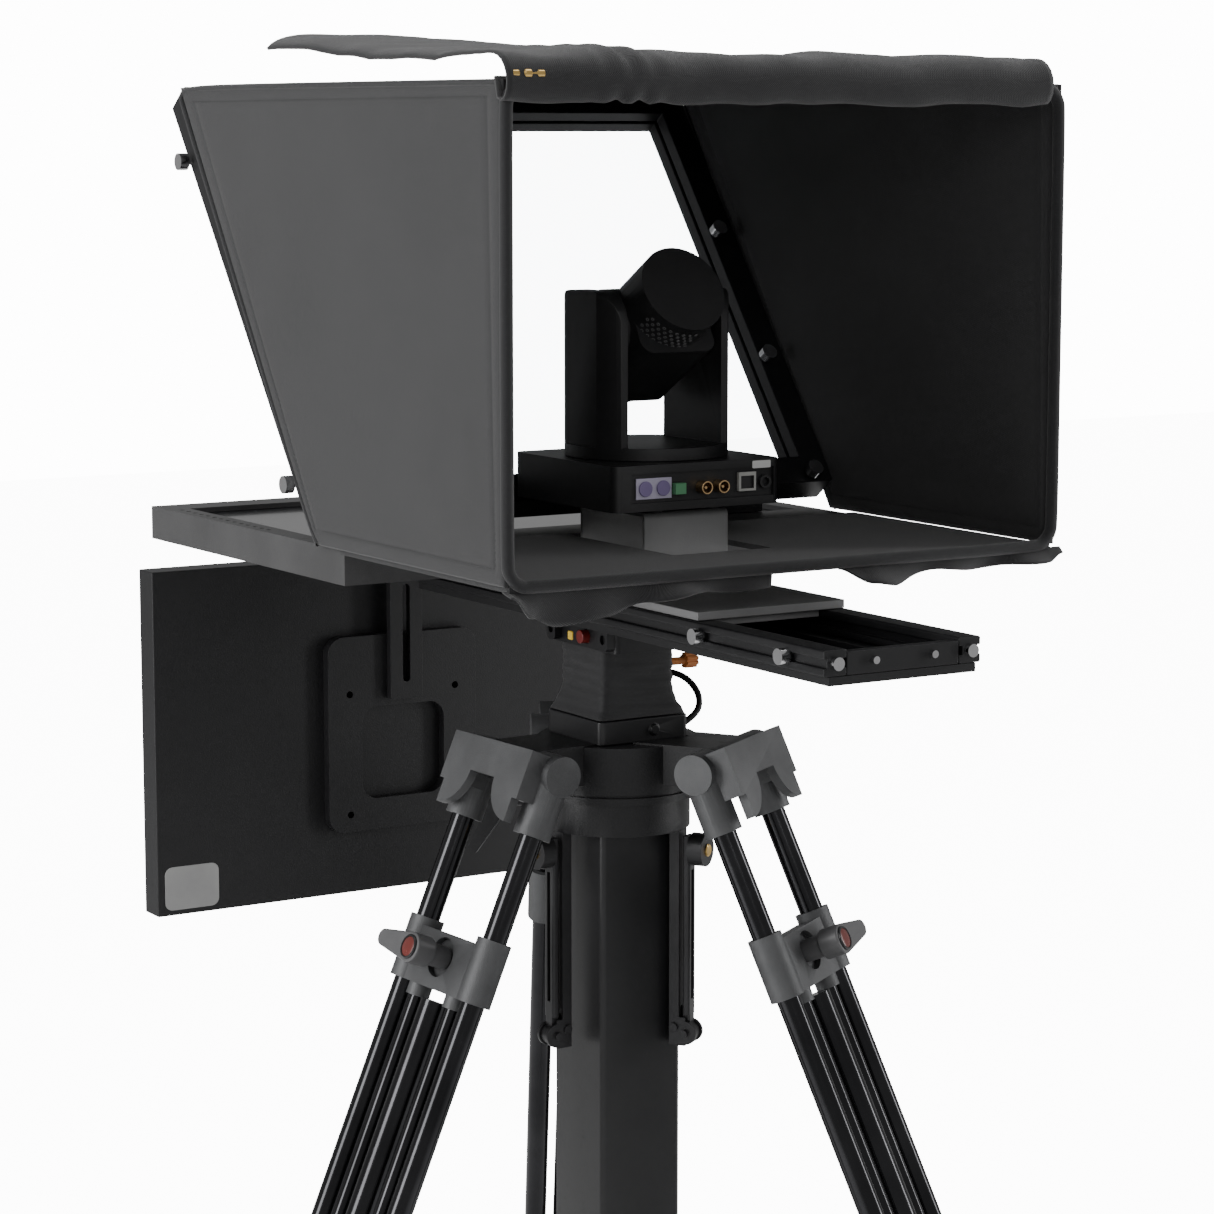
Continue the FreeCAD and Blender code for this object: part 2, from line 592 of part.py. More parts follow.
def make_riser():
    """Carriage plate that slides on the rails, and the bent-sheet riser the camera stands on."""
    half = RAIL_SPAN / 2
    rear = RISER_REAR_Y - CARRIAGE_TAIL
    front = TRAY_REAR_Y - CARRIAGE_FORWARD - 2.0
    low = RAIL_TOP_Z + SLIDE_GAP
    high = low + RISER_PLATE_T
    plate = box(-half + 2.0, half - 2.0, rear, front, low, high)
    tongue_half = half - RAIL_W - SLIDE_GAP
    tongue = box(-tongue_half, tongue_half, rear + 8.0, front - 8.0, low - 6.0, low)
    top = CAM_BASE_Z - CAM_FOOT_H - FIT_GAP
    outer = box(-RISER_W / 2, RISER_W / 2, RISER_REAR_Y, front - 8.0, high, top)
    inner = box(-RISER_W, RISER_W, RISER_REAR_Y + RISER_SHEET, front - 8.0 - RISER_SHEET,
                high, top - RISER_SHEET)
    sheet = rounded(outer, 5.0, lambda e: along(X_AXIS)(e) and e.BoundBox.ZMin > top - 1.0)
    write("camera_riser", fused([plate, tongue, sheet.cut(inner)]))


def make_quick_release():
    """Block that clamps the rail's base plate to the column: end lugs and a release button."""
    low, high = QR_BOTTOM_Z, BASE_BOTTOM_Z - SLIDE_GAP
    half = QR_W / 2
    y0, y1 = QR_SHIFT_Y - QR_LENGTH / 2, QR_SHIFT_Y + QR_LENGTH / 2
    block = rounded(box(-half, half, y0, y1, low + FIT_GAP, high), 4.0, along(Z_AXIS))
    lugs, recesses = [], []
    for y in (y0 + 2.0, y1 - 14.0):
        for side in (-1, 1):
            x0, x1 = sorted((side * (half - 6.0), side * (half + QR_LUG)))
            lug = box(x0, x1, y, y + 12.0, low + 2.0, high - 1.0)
            lugs.append(rounded(lug, 4.0, along(X_AXIS)))
            face = V(side * (half + QR_LUG), y + 6.0, (low + high) / 2)
            recesses.append(cylinder(3.5, face - V(side * 3.0, 0, 0), face + V(side, 0, 0)))
    block = fused([block] + lugs).cut(Part.makeCompound(recesses))
    mid = (low + high) / 2 - 2.0
    button_y = QR_SHIFT_Y - 3.0
    seat = cylinder(BUTTON_R + SLIDE_GAP, V(-half - QR_LUG, button_y, mid),
                    V(-half + 8.0, button_y, mid))
    write("quick_release_block", block.cut(seat))
    button = cylinder(BUTTON_R, V(-half + 5.0, button_y, mid),
                      V(-half - BUTTON_H, button_y, mid))
    write("quick_release_button", button)


def stage_knob_seat():
    """Where the stage's lock knob meets the right side of its cap."""
    return V(BELLOWS_TOP_SIDE / 2, STAGE_KNOB_Y, STAGE_TOP_Z - STAGE_KNOB_DROP)


def make_stage_knob():
    """Small fluted knob on a stem in the right side of the moving stage's cap."""
    seat = stage_knob_seat()
    inner = V(KNOB_STEM_L, 0, 0)
    stem = cylinder(KNOB_STEM_R, seat - inner, seat + V(KNOB_REACH, 0, 0))
    head_foot = seat + V(KNOB_REACH, 0, 0)
    head = cylinder(QR_KNOB_R, head_foot, head_foot + V(QR_KNOB_H, 0, 0))
    flutes = []
    for i in range(8):
        angle = math.radians(45.0 * i)
        spot = head_foot + V(-1.0, QR_KNOB_R * math.cos(angle), QR_KNOB_R * math.sin(angle))
        flutes.append(cylinder(1.1, spot, spot + V(QR_KNOB_H + 2.0, 0, 0)))
    write("stage_lock_knob", stem.fuse(head.cut(Part.makeCompound(flutes))))


# ---------------------------------------------------------------- column
def square_tube(side, wall, z0, z1, corner):
    outer = rounded(box(-side / 2, side / 2, -side / 2, side / 2, z0, z1), corner, along(Z_AXIS))
    inner_half = side / 2 - wall
    return outer.cut(box(-inner_half, inner_half, -inner_half, inner_half, z0 - 1.0, z1 + 1.0))


def make_column():
    flange_low = FLANGE_TOP_Z - FLANGE_H
    body = square_tube(COLUMN_SIDE, COLUMN_WALL, COLUMN_FOOT_Z, flange_low, 4.0)
    half = COLUMN_SIDE / 2
    plug = box(-half + COLUMN_WALL, half - COLUMN_WALL, -half + COLUMN_WALL, half - COLUMN_WALL,
               COLUMN_FOOT_Z, COLUMN_FOOT_Z + 8.0)
    write("column_tube", fused([body, plug]))
    flange = rounded(box(-FLANGE_SIDE / 2, FLANGE_SIDE / 2, -FLANGE_SIDE / 2, FLANGE_SIDE / 2,
                         flange_low, FLANGE_TOP_Z), 5.0, along(Z_AXIS))
    bore = STAGE_SIDE / 2 + SLIDE_GAP
    flange = flange.cut(box(-bore, bore, -bore, bore, flange_low - 1.0, FLANGE_TOP_Z + 1.0))
    screw = V(8.0, -FLANGE_SIDE / 2, FLANGE_TOP_Z - FLANGE_H / 2)
    head = cylinder(4.0, screw - V(0, 2.5, 0), screw + V(0, 4.0, 0))
    write("column_flange", flange.fuse(head))
    stage_low = flange_low - STAGE_OVERLAP
    stage = square_tube(STAGE_SIDE, STAGE_WALL, stage_low, STAGE_TOP_Z - STAGE_CAP_T, 3.0)
    cap_half = BELLOWS_TOP_SIDE / 2
    cap = rounded(box(-cap_half, cap_half, -cap_half, cap_half, STAGE_TOP_Z - STAGE_CAP_T,
                      STAGE_TOP_Z), 4.0, along(Z_AXIS))
    seat = stage_knob_seat()
    knob_bore = cylinder(KNOB_STEM_R + RUNNING_GAP, seat - V(KNOB_STEM_L + 0.5, 0, 0),
                         seat + V(1.0, 0, 0))
    write("lift_stage", fused([stage, cap]).cut(knob_bore))
    make_bellows()
    make_cable()


def make_bellows():
    """Pleated fabric sleeve between the column's flange and the moving stage's cap."""
    low, high = FLANGE_TOP_Z + FIT_GAP, STAGE_TOP_Z - STAGE_CAP_T - FIT_GAP
    step = (high - low) / BELLOWS_FOLDS
    inner = STAGE_SIDE / 2 + SLIDE_GAP

    def square(half, z):
        corners = [V(-half, -half, z), V(half, -half, z), V(half, half, z), V(-half, half, z)]
        return Part.makePolygon(corners + corners[:1])

    folds = []
    for i in range(BELLOWS_FOLDS):
        z = low + i * step
        share = i / (BELLOWS_FOLDS - 1)
        flare = (1 - share) ** 2
        half = (BELLOWS_TOP_SIDE + flare * (BELLOWS_FOOT_SIDE - BELLOWS_TOP_SIDE)) / 2
        valley = half - BELLOWS_FOLD_DEPTH
        folds.append(Part.makeLoft([square(valley, z), square(half, z + step / 2),
                                    square(valley, z + step)], True, True))
    sleeve = fused(folds).cut(box(-inner, inner, -inner, inner, low - 1.0, high + 1.0))
    write("column_bellows", sleeve)


def arced_path(points):
    """Straight runs joined by tangent arcs, each as large as its two runs allow."""
    edges, start, radii = [], points[0], []
    for before, corner, after in zip(points, points[1:], points[2:]):
        to_before = (before - corner).normalize()
        to_after = (after - corner).normalize()
        setback = 0.45 * min((before - corner).Length, (after - corner).Length)
        half_turn = (math.pi - to_before.getAngle(to_after)) / 2
        radius = setback / math.tan(half_turn)
        bisector = (to_before + to_after).normalize()
        middle = corner + bisector * (radius / math.cos(half_turn) - radius)
        first, last = corner + to_before * setback, corner + to_after * setback
        edges.append(Part.LineSegment(start, first).toShape())
        edges.append(Part.Arc(first, middle, last).toShape())
        start = last
        radii.append(round(radius, 1))
    edges.append(Part.LineSegment(start, points[-1]).toShape())
    return Part.Wire(edges), radii


def make_cable():
    """Short motor lead that leaves the flange's side, loops round the sleeve and goes back in."""
    x, mid = FLANGE_SIDE / 2, FLANGE_TOP_Z - FLANGE_H / 2
    points = [V(x - CABLE_SINK, -24.0, mid - 4.0), V(x + 15.0, -27.0, mid + 4.0),
              V(x + 23.0, -20.0, mid + 18.0), V(x + 19.0, -6.0, mid + 31.0),
              V(x + 8.0, 8.0, mid + 35.0), V(x + 5.0, 22.0, mid + 25.0),
              V(x + 6.0, 31.0, mid + 11.0), V(x - CABLE_SINK - 1.0, 34.0, mid - 3.0)]
    path, radii = arced_path(points)
    start = points[1] - points[0]
    profile = Part.Wire(Part.makeCircle(CABLE_R, points[0], start))
    cable = path.makePipeShell([profile], True, False)
    share = cable.Volume / (math.pi * CABLE_R ** 2 * path.Length)
    print("cable radii", radii, "length", round(path.Length, 1), "volume share", round(share, 3))
    write("column_cable", cable)


# ---------------------------------------------------------------- tripod
def make_hub():
    """Barrel that grips the column, with three lobes that end in the leg pivots, and its lever."""
    barrel = cylinder(HUB_R, V(0, 0, HUB_BOTTOM_Z), V(0, 0, HUB_TOP_Z - FIT_GAP))
    ring_low = HUB_BOTTOM_Z - HUB_RING_H
    ring = cylinder(HUB_RING_R, V(0, 0, ring_low), V(0, 0, HUB_BOTTOM_Z))
    lobes = []
    pin_half = TUBE_SPREAD / 2 + PIN_REACH
    for heading in LEG_HEADINGS:
        end = V(PIVOT_RADIUS, 0, PIVOT_Z)
        arm = box(0, PIVOT_RADIUS, -LOBE_W / 2, LOBE_W / 2, PIVOT_Z - LOBE_R, PIVOT_Z + LOBE_R)
        nose = cylinder(LOBE_R, end - V(0, LOBE_W / 2, 0), end + V(0, LOBE_W / 2, 0))
        pin = cylinder(PIVOT_PIN_R, end - V(0, pin_half, 0), end + V(0, pin_half, 0))
        lobes.append(at_heading(fused([arm, nose, pin]), heading))
    hub = fused([barrel, ring] + lobes)
    for z in (HUB_BOTTOM_Z + 6.0, HUB_BOTTOM_Z - 2.0):
        hub = hub.cut(tube(HUB_R + 1.0, 3.0, V(0, 0, z), V(0, 0, z + 2.5)))
    bore = COLUMN_SIDE / 2 + 0.2
    lobe_top = PIVOT_Z + 2 * LOBE_R
    hub = hub.cut(box(-bore, bore, -bore, bore, ring_low - 1.0, lobe_top))
    seat, seat_z = FLANGE_SIDE / 2 + FIT_GAP, FLANGE_TOP_Z - FLANGE_H - FIT_GAP
    hub = hub.cut(box(-seat, seat, -seat, seat, seat_z, lobe_top))
    write("tripod_hub", hub, at_heading(hub_lever(), HUB_LEVER_HEADING))


def hub_lever():
    """Tapered paddle that hangs from a stem and clamps the column in the hub."""
    stem_z = HUB_BOTTOM_Z - 10.0
    stem = cylinder(4.0, V(HUB_RING_R + FIT_GAP, 0, stem_z), V(HUB_RING_R + 38.0, 0, stem_z))
    root, tip = HUB_RING_R + 34.0, HUB_RING_R + 58.0
    outline = [
        (root, -4.0, stem_z + 8.0),
        (root + 8.0, -4.0, stem_z + 6.0),
        (tip + 3.0, -4.0, stem_z - 38.0),
        (tip - 3.0, -4.0, stem_z - 42.0),
        (root, -4.0, stem_z - 12.0),
    ]
    return fused([stem, prism(outline, V(0, 8.0, 0))])


def make_leg(number, heading):
    name = "leg_%d_" % number
    y = TUBE_SPREAD / 2
    write(name + "yoke", on_leg(leg_yoke(y), heading))
    end = TUBE_TOP - UPPER_TUBE_LENGTH
    tubes = [tube(TUBE_R, TUBE_WALL, V(0, s * y, TUBE_TOP), V(0, s * y, end)) for s in (-1, 1)]
    write(name + "upper_tubes", *[on_leg(t, heading) for t in tubes])
    clamp_top = -MID_CLAMP_AT
    clamp_low = clamp_top - MID_CLAMP_H
    write(name + "middle_clamp", on_leg(middle_clamp(y, clamp_top, clamp_low), heading))
    lever = clamp_lever(clamp_top - MID_CLAMP_H / 2, LEVER_TURNS[number - 1])
    write(name + "clamp_lever", on_leg(lever, heading))
    mid_y = MID_TUBE_SPREAD / 2
    mid_end = clamp_low - MID_TUBE_LENGTH
    stage = [tube(MID_TUBE_R, MID_TUBE_WALL, V(0, s * mid_y, clamp_low - FIT_GAP),
                  V(0, s * mid_y, mid_end)) for s in (-1, 1)]
    stage.append(lower_clamp(mid_end))
    write(name + "middle_stage", *[on_leg(piece, heading) for piece in stage])
    low_top = clamp_low - 14.0
    low_end = -LEG_TO_FLOOR + FOOT_GRIP
    lower = tube(LOWER_TUBE_R, 1.8, V(0, 0, low_top), V(0, 0, low_end))
    cap = cylinder(LOWER_TUBE_R, V(0, 0, low_top), V(0, 0, low_top + 6.0))
    write(name + "lower_tube", on_leg(fused([lower, cap]), heading))
    write(name + "foot", leg_foot(low_end, heading))


def leg_foot(low_end, heading):
    """Rubber foot round the tube's end, cut level with the floor."""
    seat = low_end - FIT_GAP
    body = cylinder(FOOT_R, V(0, 0, seat), V(0, 0, seat - 3 * FOOT_R))
    collar = Part.makeCone(FOOT_R, LOWER_TUBE_R + 4.0, 24.0, V(0, 0, seat), Z_AXIS)
    collar = collar.cut(cylinder(LOWER_TUBE_R + RUNNING_GAP, V(0, 0, seat), V(0, 0, seat + 30.0)))
    above = box(-PIVOT_Z, PIVOT_Z, -PIVOT_Z, PIVOT_Z, 0, PIVOT_Z)
    return on_leg(fused([body, collar]), heading).common(above)


def leg_yoke(y):
    """Casting over the hub's lobe: two capped sockets joined by an arched web."""
    inner_y = LOBE_W / 2 + LOBE_CLEAR
    web_in = LOBE_R + YOKE_GAP
    web_out = web_in + YOKE_WEB_T
    parts = []
    for side in (-1, 1):
        outer_y = side * (y + SOCKET_R)
        barrel = cylinder(SOCKET_R + 1.0, V(0, side * inner_y, 0), V(0, outer_y, 0))
        parts.append(turned(barrel, V(0, 0, 0), Y_AXIS, BARREL_SEAM))
        parts.append(cylinder(SOCKET_R, V(0, side * y, 0), V(0, side * y, -SOCKET_LENGTH)))
        y0, y1 = sorted((side * inner_y, side * (y + 6.0)))
        parts.append(box(0, web_out, y0, y1, -26.0, YOKE_WEB_TOP))
    foot = -SOCKET_LENGTH + 4.0
    flat = y - GUSSET
    corners = [V(web_in, -y, YOKE_WEB_TOP), V(web_in, y, YOKE_WEB_TOP), V(web_in, y, foot),
               V(web_in, flat, ARCH_Z), V(web_in, -flat, ARCH_Z), V(web_in, -y, foot)]
    bulge = V(0, 0.72 * GUSSET, 0)
    right_mid = V(web_in, y, 0.78 * foot) - bulge
    left_mid = V(web_in, -y, 0.78 * foot) + bulge
    outline = Part.Wire([
        Part.LineSegment(corners[0], corners[1]).toShape(),
        Part.LineSegment(corners[1], corners[2]).toShape(),
        Part.Arc(corners[2], right_mid, corners[3]).toShape(),
        Part.LineSegment(corners[3], corners[4]).toShape(),
        Part.Arc(corners[4], left_mid, corners[5]).toShape(),
        Part.LineSegment(corners[5], corners[0]).toShape(),
    ])
    parts.append(Part.Face(outline).extrude(V(YOKE_WEB_T, 0, 0)))
    casting = fused(parts)
    swing = box(-60.0, web_in, -inner_y, inner_y, -80.0, 40.0)
    pin_end = y + PIN_REACH + FIT_GAP
    pin_hole = cylinder(PIVOT_PIN_R + RUNNING_GAP, V(0, -pin_end, 0), V(0, pin_end, 0))
    sockets = [cylinder(TUBE_R + RUNNING_GAP, V(0, side * y, TUBE_TOP + 0.1),
                        V(0, side * y, -90.0)) for side in (-1, 1)]
    return casting.cut(swing).cut(pin_hole).cut(Part.makeCompound(sockets))


def middle_clamp(y, top, low):
    """Casting that slides on the twin tubes and carries the middle stage under its plate."""
    parts = [cylinder(SOCKET_R - 1.0, V(0, s * y, top), V(0, s * y, low)) for s in (-1, 1)]
    front = MID_WEB_T / 2
    parts.append(box(-front, front, -y, y, low, top - 6.0))
    mid_y = MID_TUBE_SPREAD / 2
    collar_r = MID_TUBE_R + 3.0
    parts += [cylinder(collar_r, V(0, s * mid_y, low + 2.0), V(0, s * mid_y, low - MID_COLLAR_H))
              for s in (-1, 1)]
    bores = [cylinder(TUBE_R + RUNNING_GAP, V(0, s * y, top + 1.0), V(0, s * y, low - 1.0))
             for s in (-1, 1)]
    bores += [cylinder(MID_TUBE_R + RUNNING_GAP, V(0, s * mid_y, low), V(0, s * mid_y, low - 20.0))
              for s in (-1, 1)]
    pocket_z = (top + low) / 2
    bores.append(cylinder(LEVER_POCKET_R, V(front - LEVER_POCKET_DEPTH, 0, pocket_z),
                          V(front + 1.0, 0, pocket_z)))
    return fused(parts).cut(Part.makeCompound(bores))


def lower_clamp(top):
    """Casting at the foot of the middle tubes, bored for the lower tube."""
    half = MID_TUBE_SPREAD / 2
    low = top - LOWER_CLAMP_H
    parts = [cylinder(MID_TUBE_R + 4.0, V(0, s * half, top - FIT_GAP), V(0, s * half, low))
             for s in (-1, 1)]
    parts.append(cylinder(LOWER_TUBE_R + 5.0, V(0, 0, top - FIT_GAP), V(0, 0, low - 6.0)))
    parts.append(box(-8.0, 8.0, -half, half, low, top - FIT_GAP))
    bore = cylinder(LOWER_TUBE_R + RUNNING_GAP, V(0, 0, top + 1.0), V(0, 0, low - 10.0))
    return fused(parts).cut(bore)


def clamp_lever(z, turn):
    """Tapered grip on a stem that stands in the middle clamp's pocket."""
    foot = V(MID_WEB_T / 2 - LEVER_POCKET_DEPTH + FIT_GAP, 0, z)
    grip = foot + V(LEVER_REACH, 0, 0)
    thick = V(LEVER_H, 0, 0)
    tip = V(0, -LEVER_LENGTH, 0)
    taper = math.asin((LEVER_R - LEVER_TIP_R) / LEVER_LENGTH)
    corners = []
    for centre, radius, side in ((grip, LEVER_R, 1), (grip + tip, LEVER_TIP_R, 1),
                                 (grip + tip, LEVER_TIP_R, -1), (grip, LEVER_R, -1)):
        out = V(0, -math.sin(taper), side * math.cos(taper)) * radius
        corners.append(centre + out)
    blade = prism([(c.x, c.y, c.z) for c in corners], thick)
    lever = fused([cylinder(LEVER_STEM_R, foot, grip + V(1.0, 0, 0)), blade,
                   cylinder(LEVER_R, grip, grip + thick),
                   cylinder(LEVER_TIP_R, grip + tip, grip + tip + thick)])
    return turned(lever, V(0, 0, z), X_AXIS, turn)


def make_braces():
    """Three slotted arms on hinge blocks at the foot of rails that hang from the hub's ring."""
    top = HUB_BOTTOM_Z - HUB_RING_H - FIT_GAP
    low = top - BRACE_RAIL_LENGTH
    inner = max(column_reach(heading) for heading in LEG_HEADINGS) + FIT_GAP
    face = inner + BRACE_RAIL_T
    hinge = V(face + 2.0 + BRACE_ARM_T / 2, 0, low - 12.0)
    rails = []
    for number, heading in enumerate(LEG_HEADINGS, 1):
        rails.append(at_heading(brace_rail(inner, face, hinge, low, top), heading))
        write("brace_arm_%d" % number, at_heading(brace_arm(hinge, low), heading))
    write("brace_rails", *rails)


def column_reach(heading):
    """How far out a bar as wide as the brace rail must stand to clear the square column."""
    a = math.radians(heading)
    large, small = sorted((abs(math.cos(a)), abs(math.sin(a))), reverse=True)
    return (COLUMN_SIDE / 2 + BRACE_RAIL_W / 2 * small) / large


def brace_rail(inner, face, hinge, low, top):
    half = BRACE_RAIL_W / 2
    rail = box(inner, face, -half, half, low, top)
    block = box(inner, hinge.x, -half, half, low - 22.0, low)
    lug = cylinder(BRACE_HINGE_R, hinge - V(0, half, 0), hinge + V(0, half, 0))
    gap_half = BRACE_TONGUE / 2 + SLIDE_GAP
    gap_start = min(face, hinge.x - BRACE_EYE_R - SLIDE_GAP)
    gap = box(gap_start, hinge.x + 20.0, -gap_half, gap_half, low - 40.0, low + 8.0)
    pin = cylinder(BRACE_PIN_R, hinge - V(0, half + 3.0, 0), hinge + V(0, half + 3.0, 0))
    screw = V(inner + BRACE_RAIL_T / 2, 0, low - 8.0)
    head = cylinder(3.4, screw - V(0, half + 2.0, 0), screw + V(0, half + 2.0, 0))
    return fused([fused([rail, block, lug, head]).cut(gap), pin])


def brace_arm(hinge, low):
    """Slotted bar with a hinge tongue at its foot and a round knob near its top."""
    tongue, half_t = BRACE_TONGUE / 2, BRACE_ARM_T / 2
    top = hinge.z + BRACE_ARM_LENGTH
    eye = cylinder(BRACE_EYE_R, hinge - V(0, tongue, 0), hinge + V(0, tongue, 0))
    neck = box(hinge.x - half_t, hinge.x + half_t, -tongue, tongue, hinge.z, low + 6.0)
    bar = box(hinge.x - half_t, hinge.x + half_t, -BRACE_ARM_W / 2, BRACE_ARM_W / 2,
              low + 2.0, top)
    slot = box(hinge.x - BRACE_ARM_T, hinge.x + BRACE_ARM_T, -2.0, 2.0, low + 14.0, top - 26.0)
    hole = cylinder(BRACE_PIN_R + RUNNING_GAP, hinge - V(0, 30.0, 0), hinge + V(0, 30.0, 0))
    knob_foot = V(hinge.x + half_t, 0, top - 10.0)
    knob = cylinder(BRACE_KNOB_R, knob_foot, knob_foot + V(BRACE_KNOB_H, 0, 0))
    return fused([eye, neck, rounded(bar, 2.0, along(Z_AXIS)), knob]).cut(slot).cut(hole)


# ---------------------------------------------------------------- camera
def make_camera():
    make_camera_base()
    make_camera_yoke()
    make_camera_head()


def make_camera_base():
    """Low square case on four small feet, with round seats for its rear sockets."""
    w, d = CAM_BASE_W / 2, CAM_BASE_D / 2
    top = CAM_BASE_Z + CAM_BASE_H
    case = box(-w, w, CAM_Y - d, CAM_Y + d, CAM_BASE_Z, top)
    case = rounded(case, 7.0, along(Z_AXIS))
    feet = [cylinder(6.0, V(x, CAM_Y + y, CAM_BASE_Z - CAM_FOOT_H), V(x, CAM_Y + y, CAM_BASE_Z))
            for x in (-w + 46.0, w - 46.0) for y in (-d + 20.0, d - 20.0)]
    recess = box(PORT_LEFT, PORT_RIGHT, CAM_Y - d - 1.0, CAM_Y - d + PORT_RECESS,
                 CAM_BASE_Z + 6.0, CAM_BASE_Z + 27.0)
    write("camera_base", fused([case] + feet).cut(recess))
    make_camera_ports(CAM_Y - d + PORT_RECESS - FIT_GAP, CAM_BASE_Z + 16.0)


def make_camera_ports(y, z):
    """Sockets in the rear recess: two round ones, a terminal, two coaxial, network and power."""
    plate = box(PORT_PLATE_X - 15.0, PORT_PLATE_X + 15.0, y - 1.0, y, z - 7.5, z + 7.5)
    ports = [plate]
    for x in (PORT_PLATE_X - 7.5, PORT_PLATE_X + 7.5):
        centre = V(x, y - 1.0, z)
        ports.append(cylinder(5.5, centre, centre - V(0, 1.5, 0)))
    terminal_x = PORT_PLATE_X + 16.0
    ports.append(box(terminal_x, terminal_x + 9.0, y - 5.0, y, z - 5.0, z + 3.0))
    for x in (COAX_X, COAX_X + COAX_STEP):
        centre = V(x, y, z - 1.0)
        ports.append(tube(4.8, 1.2, centre, centre - V(0, 9.0, 0)))
        ports.append(cylinder(1.2, centre, centre - V(0, 7.0, 0)))
    jack = box(NETWORK_X - 7.5, NETWORK_X + 7.5, y - 3.0, y, z - 6.0, z + 8.0)
    mouth = box(NETWORK_X - 5.5, NETWORK_X + 5.5, y - 4.0, y - 0.8, z - 4.0, z + 5.0)
    ports.append(jack.cut(mouth))
    centre = V(PORT_RIGHT - 7.0, y, z)
    ports.append(tube(5.0, 2.0, centre, centre - V(0, 3.0, 0)))
    write("camera_ports", *ports)


def make_camera_yoke():
    low = CAM_BASE_Z + CAM_BASE_H + SLIDE_GAP
    disc = cylinder(YOKE_DISC_R, V(0, CAM_Y, low), V(0, CAM_Y, low + YOKE_DISC_H))
    arms = []
    for side in (-1, 1):
        x0, x1 = sorted((side * YOKE_ARM_IN, side * (YOKE_ARM_IN + YOKE_ARM_T)))
        arm = box(x0, x1, CAM_Y - YOKE_ARM_D / 2, CAM_Y + YOKE_ARM_D / 2, low + 1.0,
                  low + YOKE_ARM_H)
        top_edges = [e for e in arm.Edges if along(X_AXIS)(e)
                     and e.BoundBox.ZMin > low + YOKE_ARM_H - 1.0]
        arms.append(arm.makeFillet(24.0, top_edges))
    round_case = cylinder(YOKE_ARM_IN + YOKE_ARM_T + 4.0, V(0, CAM_Y, low),
                          V(0, CAM_Y, low + YOKE_ARM_H))
    body = fused([disc] + arms).common(round_case)
    pivot = camera_pivot()
    bore = cylinder(TRUNNION_R + RUNNING_GAP, pivot - V(YOKE_ARM_IN + 6.0, 0, 0),
                    pivot + V(YOKE_ARM_IN + 6.0, 0, 0))
    write("camera_yoke", body.cut(bore))


def camera_pivot():
    arm_top = CAM_BASE_Z + CAM_BASE_H + SLIDE_GAP + YOKE_ARM_H
    return V(0, CAM_Y, arm_top - PIVOT_BELOW_ARM_TOP)


def make_camera_head():
    """Round-ended barrel on two trunnions, drawn level and then tilted about them."""
    pivot = camera_pivot()
    rear, front = pivot - V(0, HEAD_LENGTH / 2, 0), pivot + V(0, HEAD_LENGTH / 2 - 2.0, 0)
    barrel = cylinder(HEAD_R, rear, front)
    belly = box(-HEAD_R + 2.0, HEAD_R - 2.0, rear.y + 26.0, front.y - 10.0,
                pivot.z - HEAD_R - 4.0, pivot.z)
    belly = rounded(belly, 10.0, along(Y_AXIS))
    trunnions = cylinder(TRUNNION_R, pivot - V(YOKE_ARM_IN + 5.0, 0, 0),
                         pivot + V(YOKE_ARM_IN + 5.0, 0, 0))
    cheeks = cylinder(HEAD_R - 5.0, pivot - V(HEAD_SIDE / 2, 0, 0),
                      pivot + V(HEAD_SIDE / 2, 0, 0))
    seat = cylinder(LENS_R, front - V(0, 8.0, 0), front + V(0, 10.0, 0))
    head = fused([barrel, belly, trunnions, cheeks]).cut(seat)
    lens = cylinder(LENS_R - FIT_GAP, front - V(0, 8.0 - FIT_GAP, 0), front + V(0, LENS_H - 8.0, 0))
    dish = Part.makeSphere(60.0, front + V(0, 60.0 + LENS_H - 11.0, 0))
    lens = lens.cut(dish)
    for shape in (head, lens):
        shape.rotate(pivot, X_AXIS, HEAD_TILT)
    write("camera_head", head)
    write("camera_lens", lens)


# ---------------------------------------------------------------- build
os.makedirs("parts", exist_ok=True)
make_hood()
make_glass_frame()
make_tray()
make_talent_monitor()
make_rails()
make_riser()
make_quick_release()
make_stage_knob()
make_column()
make_hub()
for index, leg_heading in enumerate(LEG_HEADINGS, 1):
    make_leg(index, leg_heading)
make_braces()
make_camera()
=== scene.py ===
import json
import math

import bmesh
import bpy
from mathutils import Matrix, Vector, noise

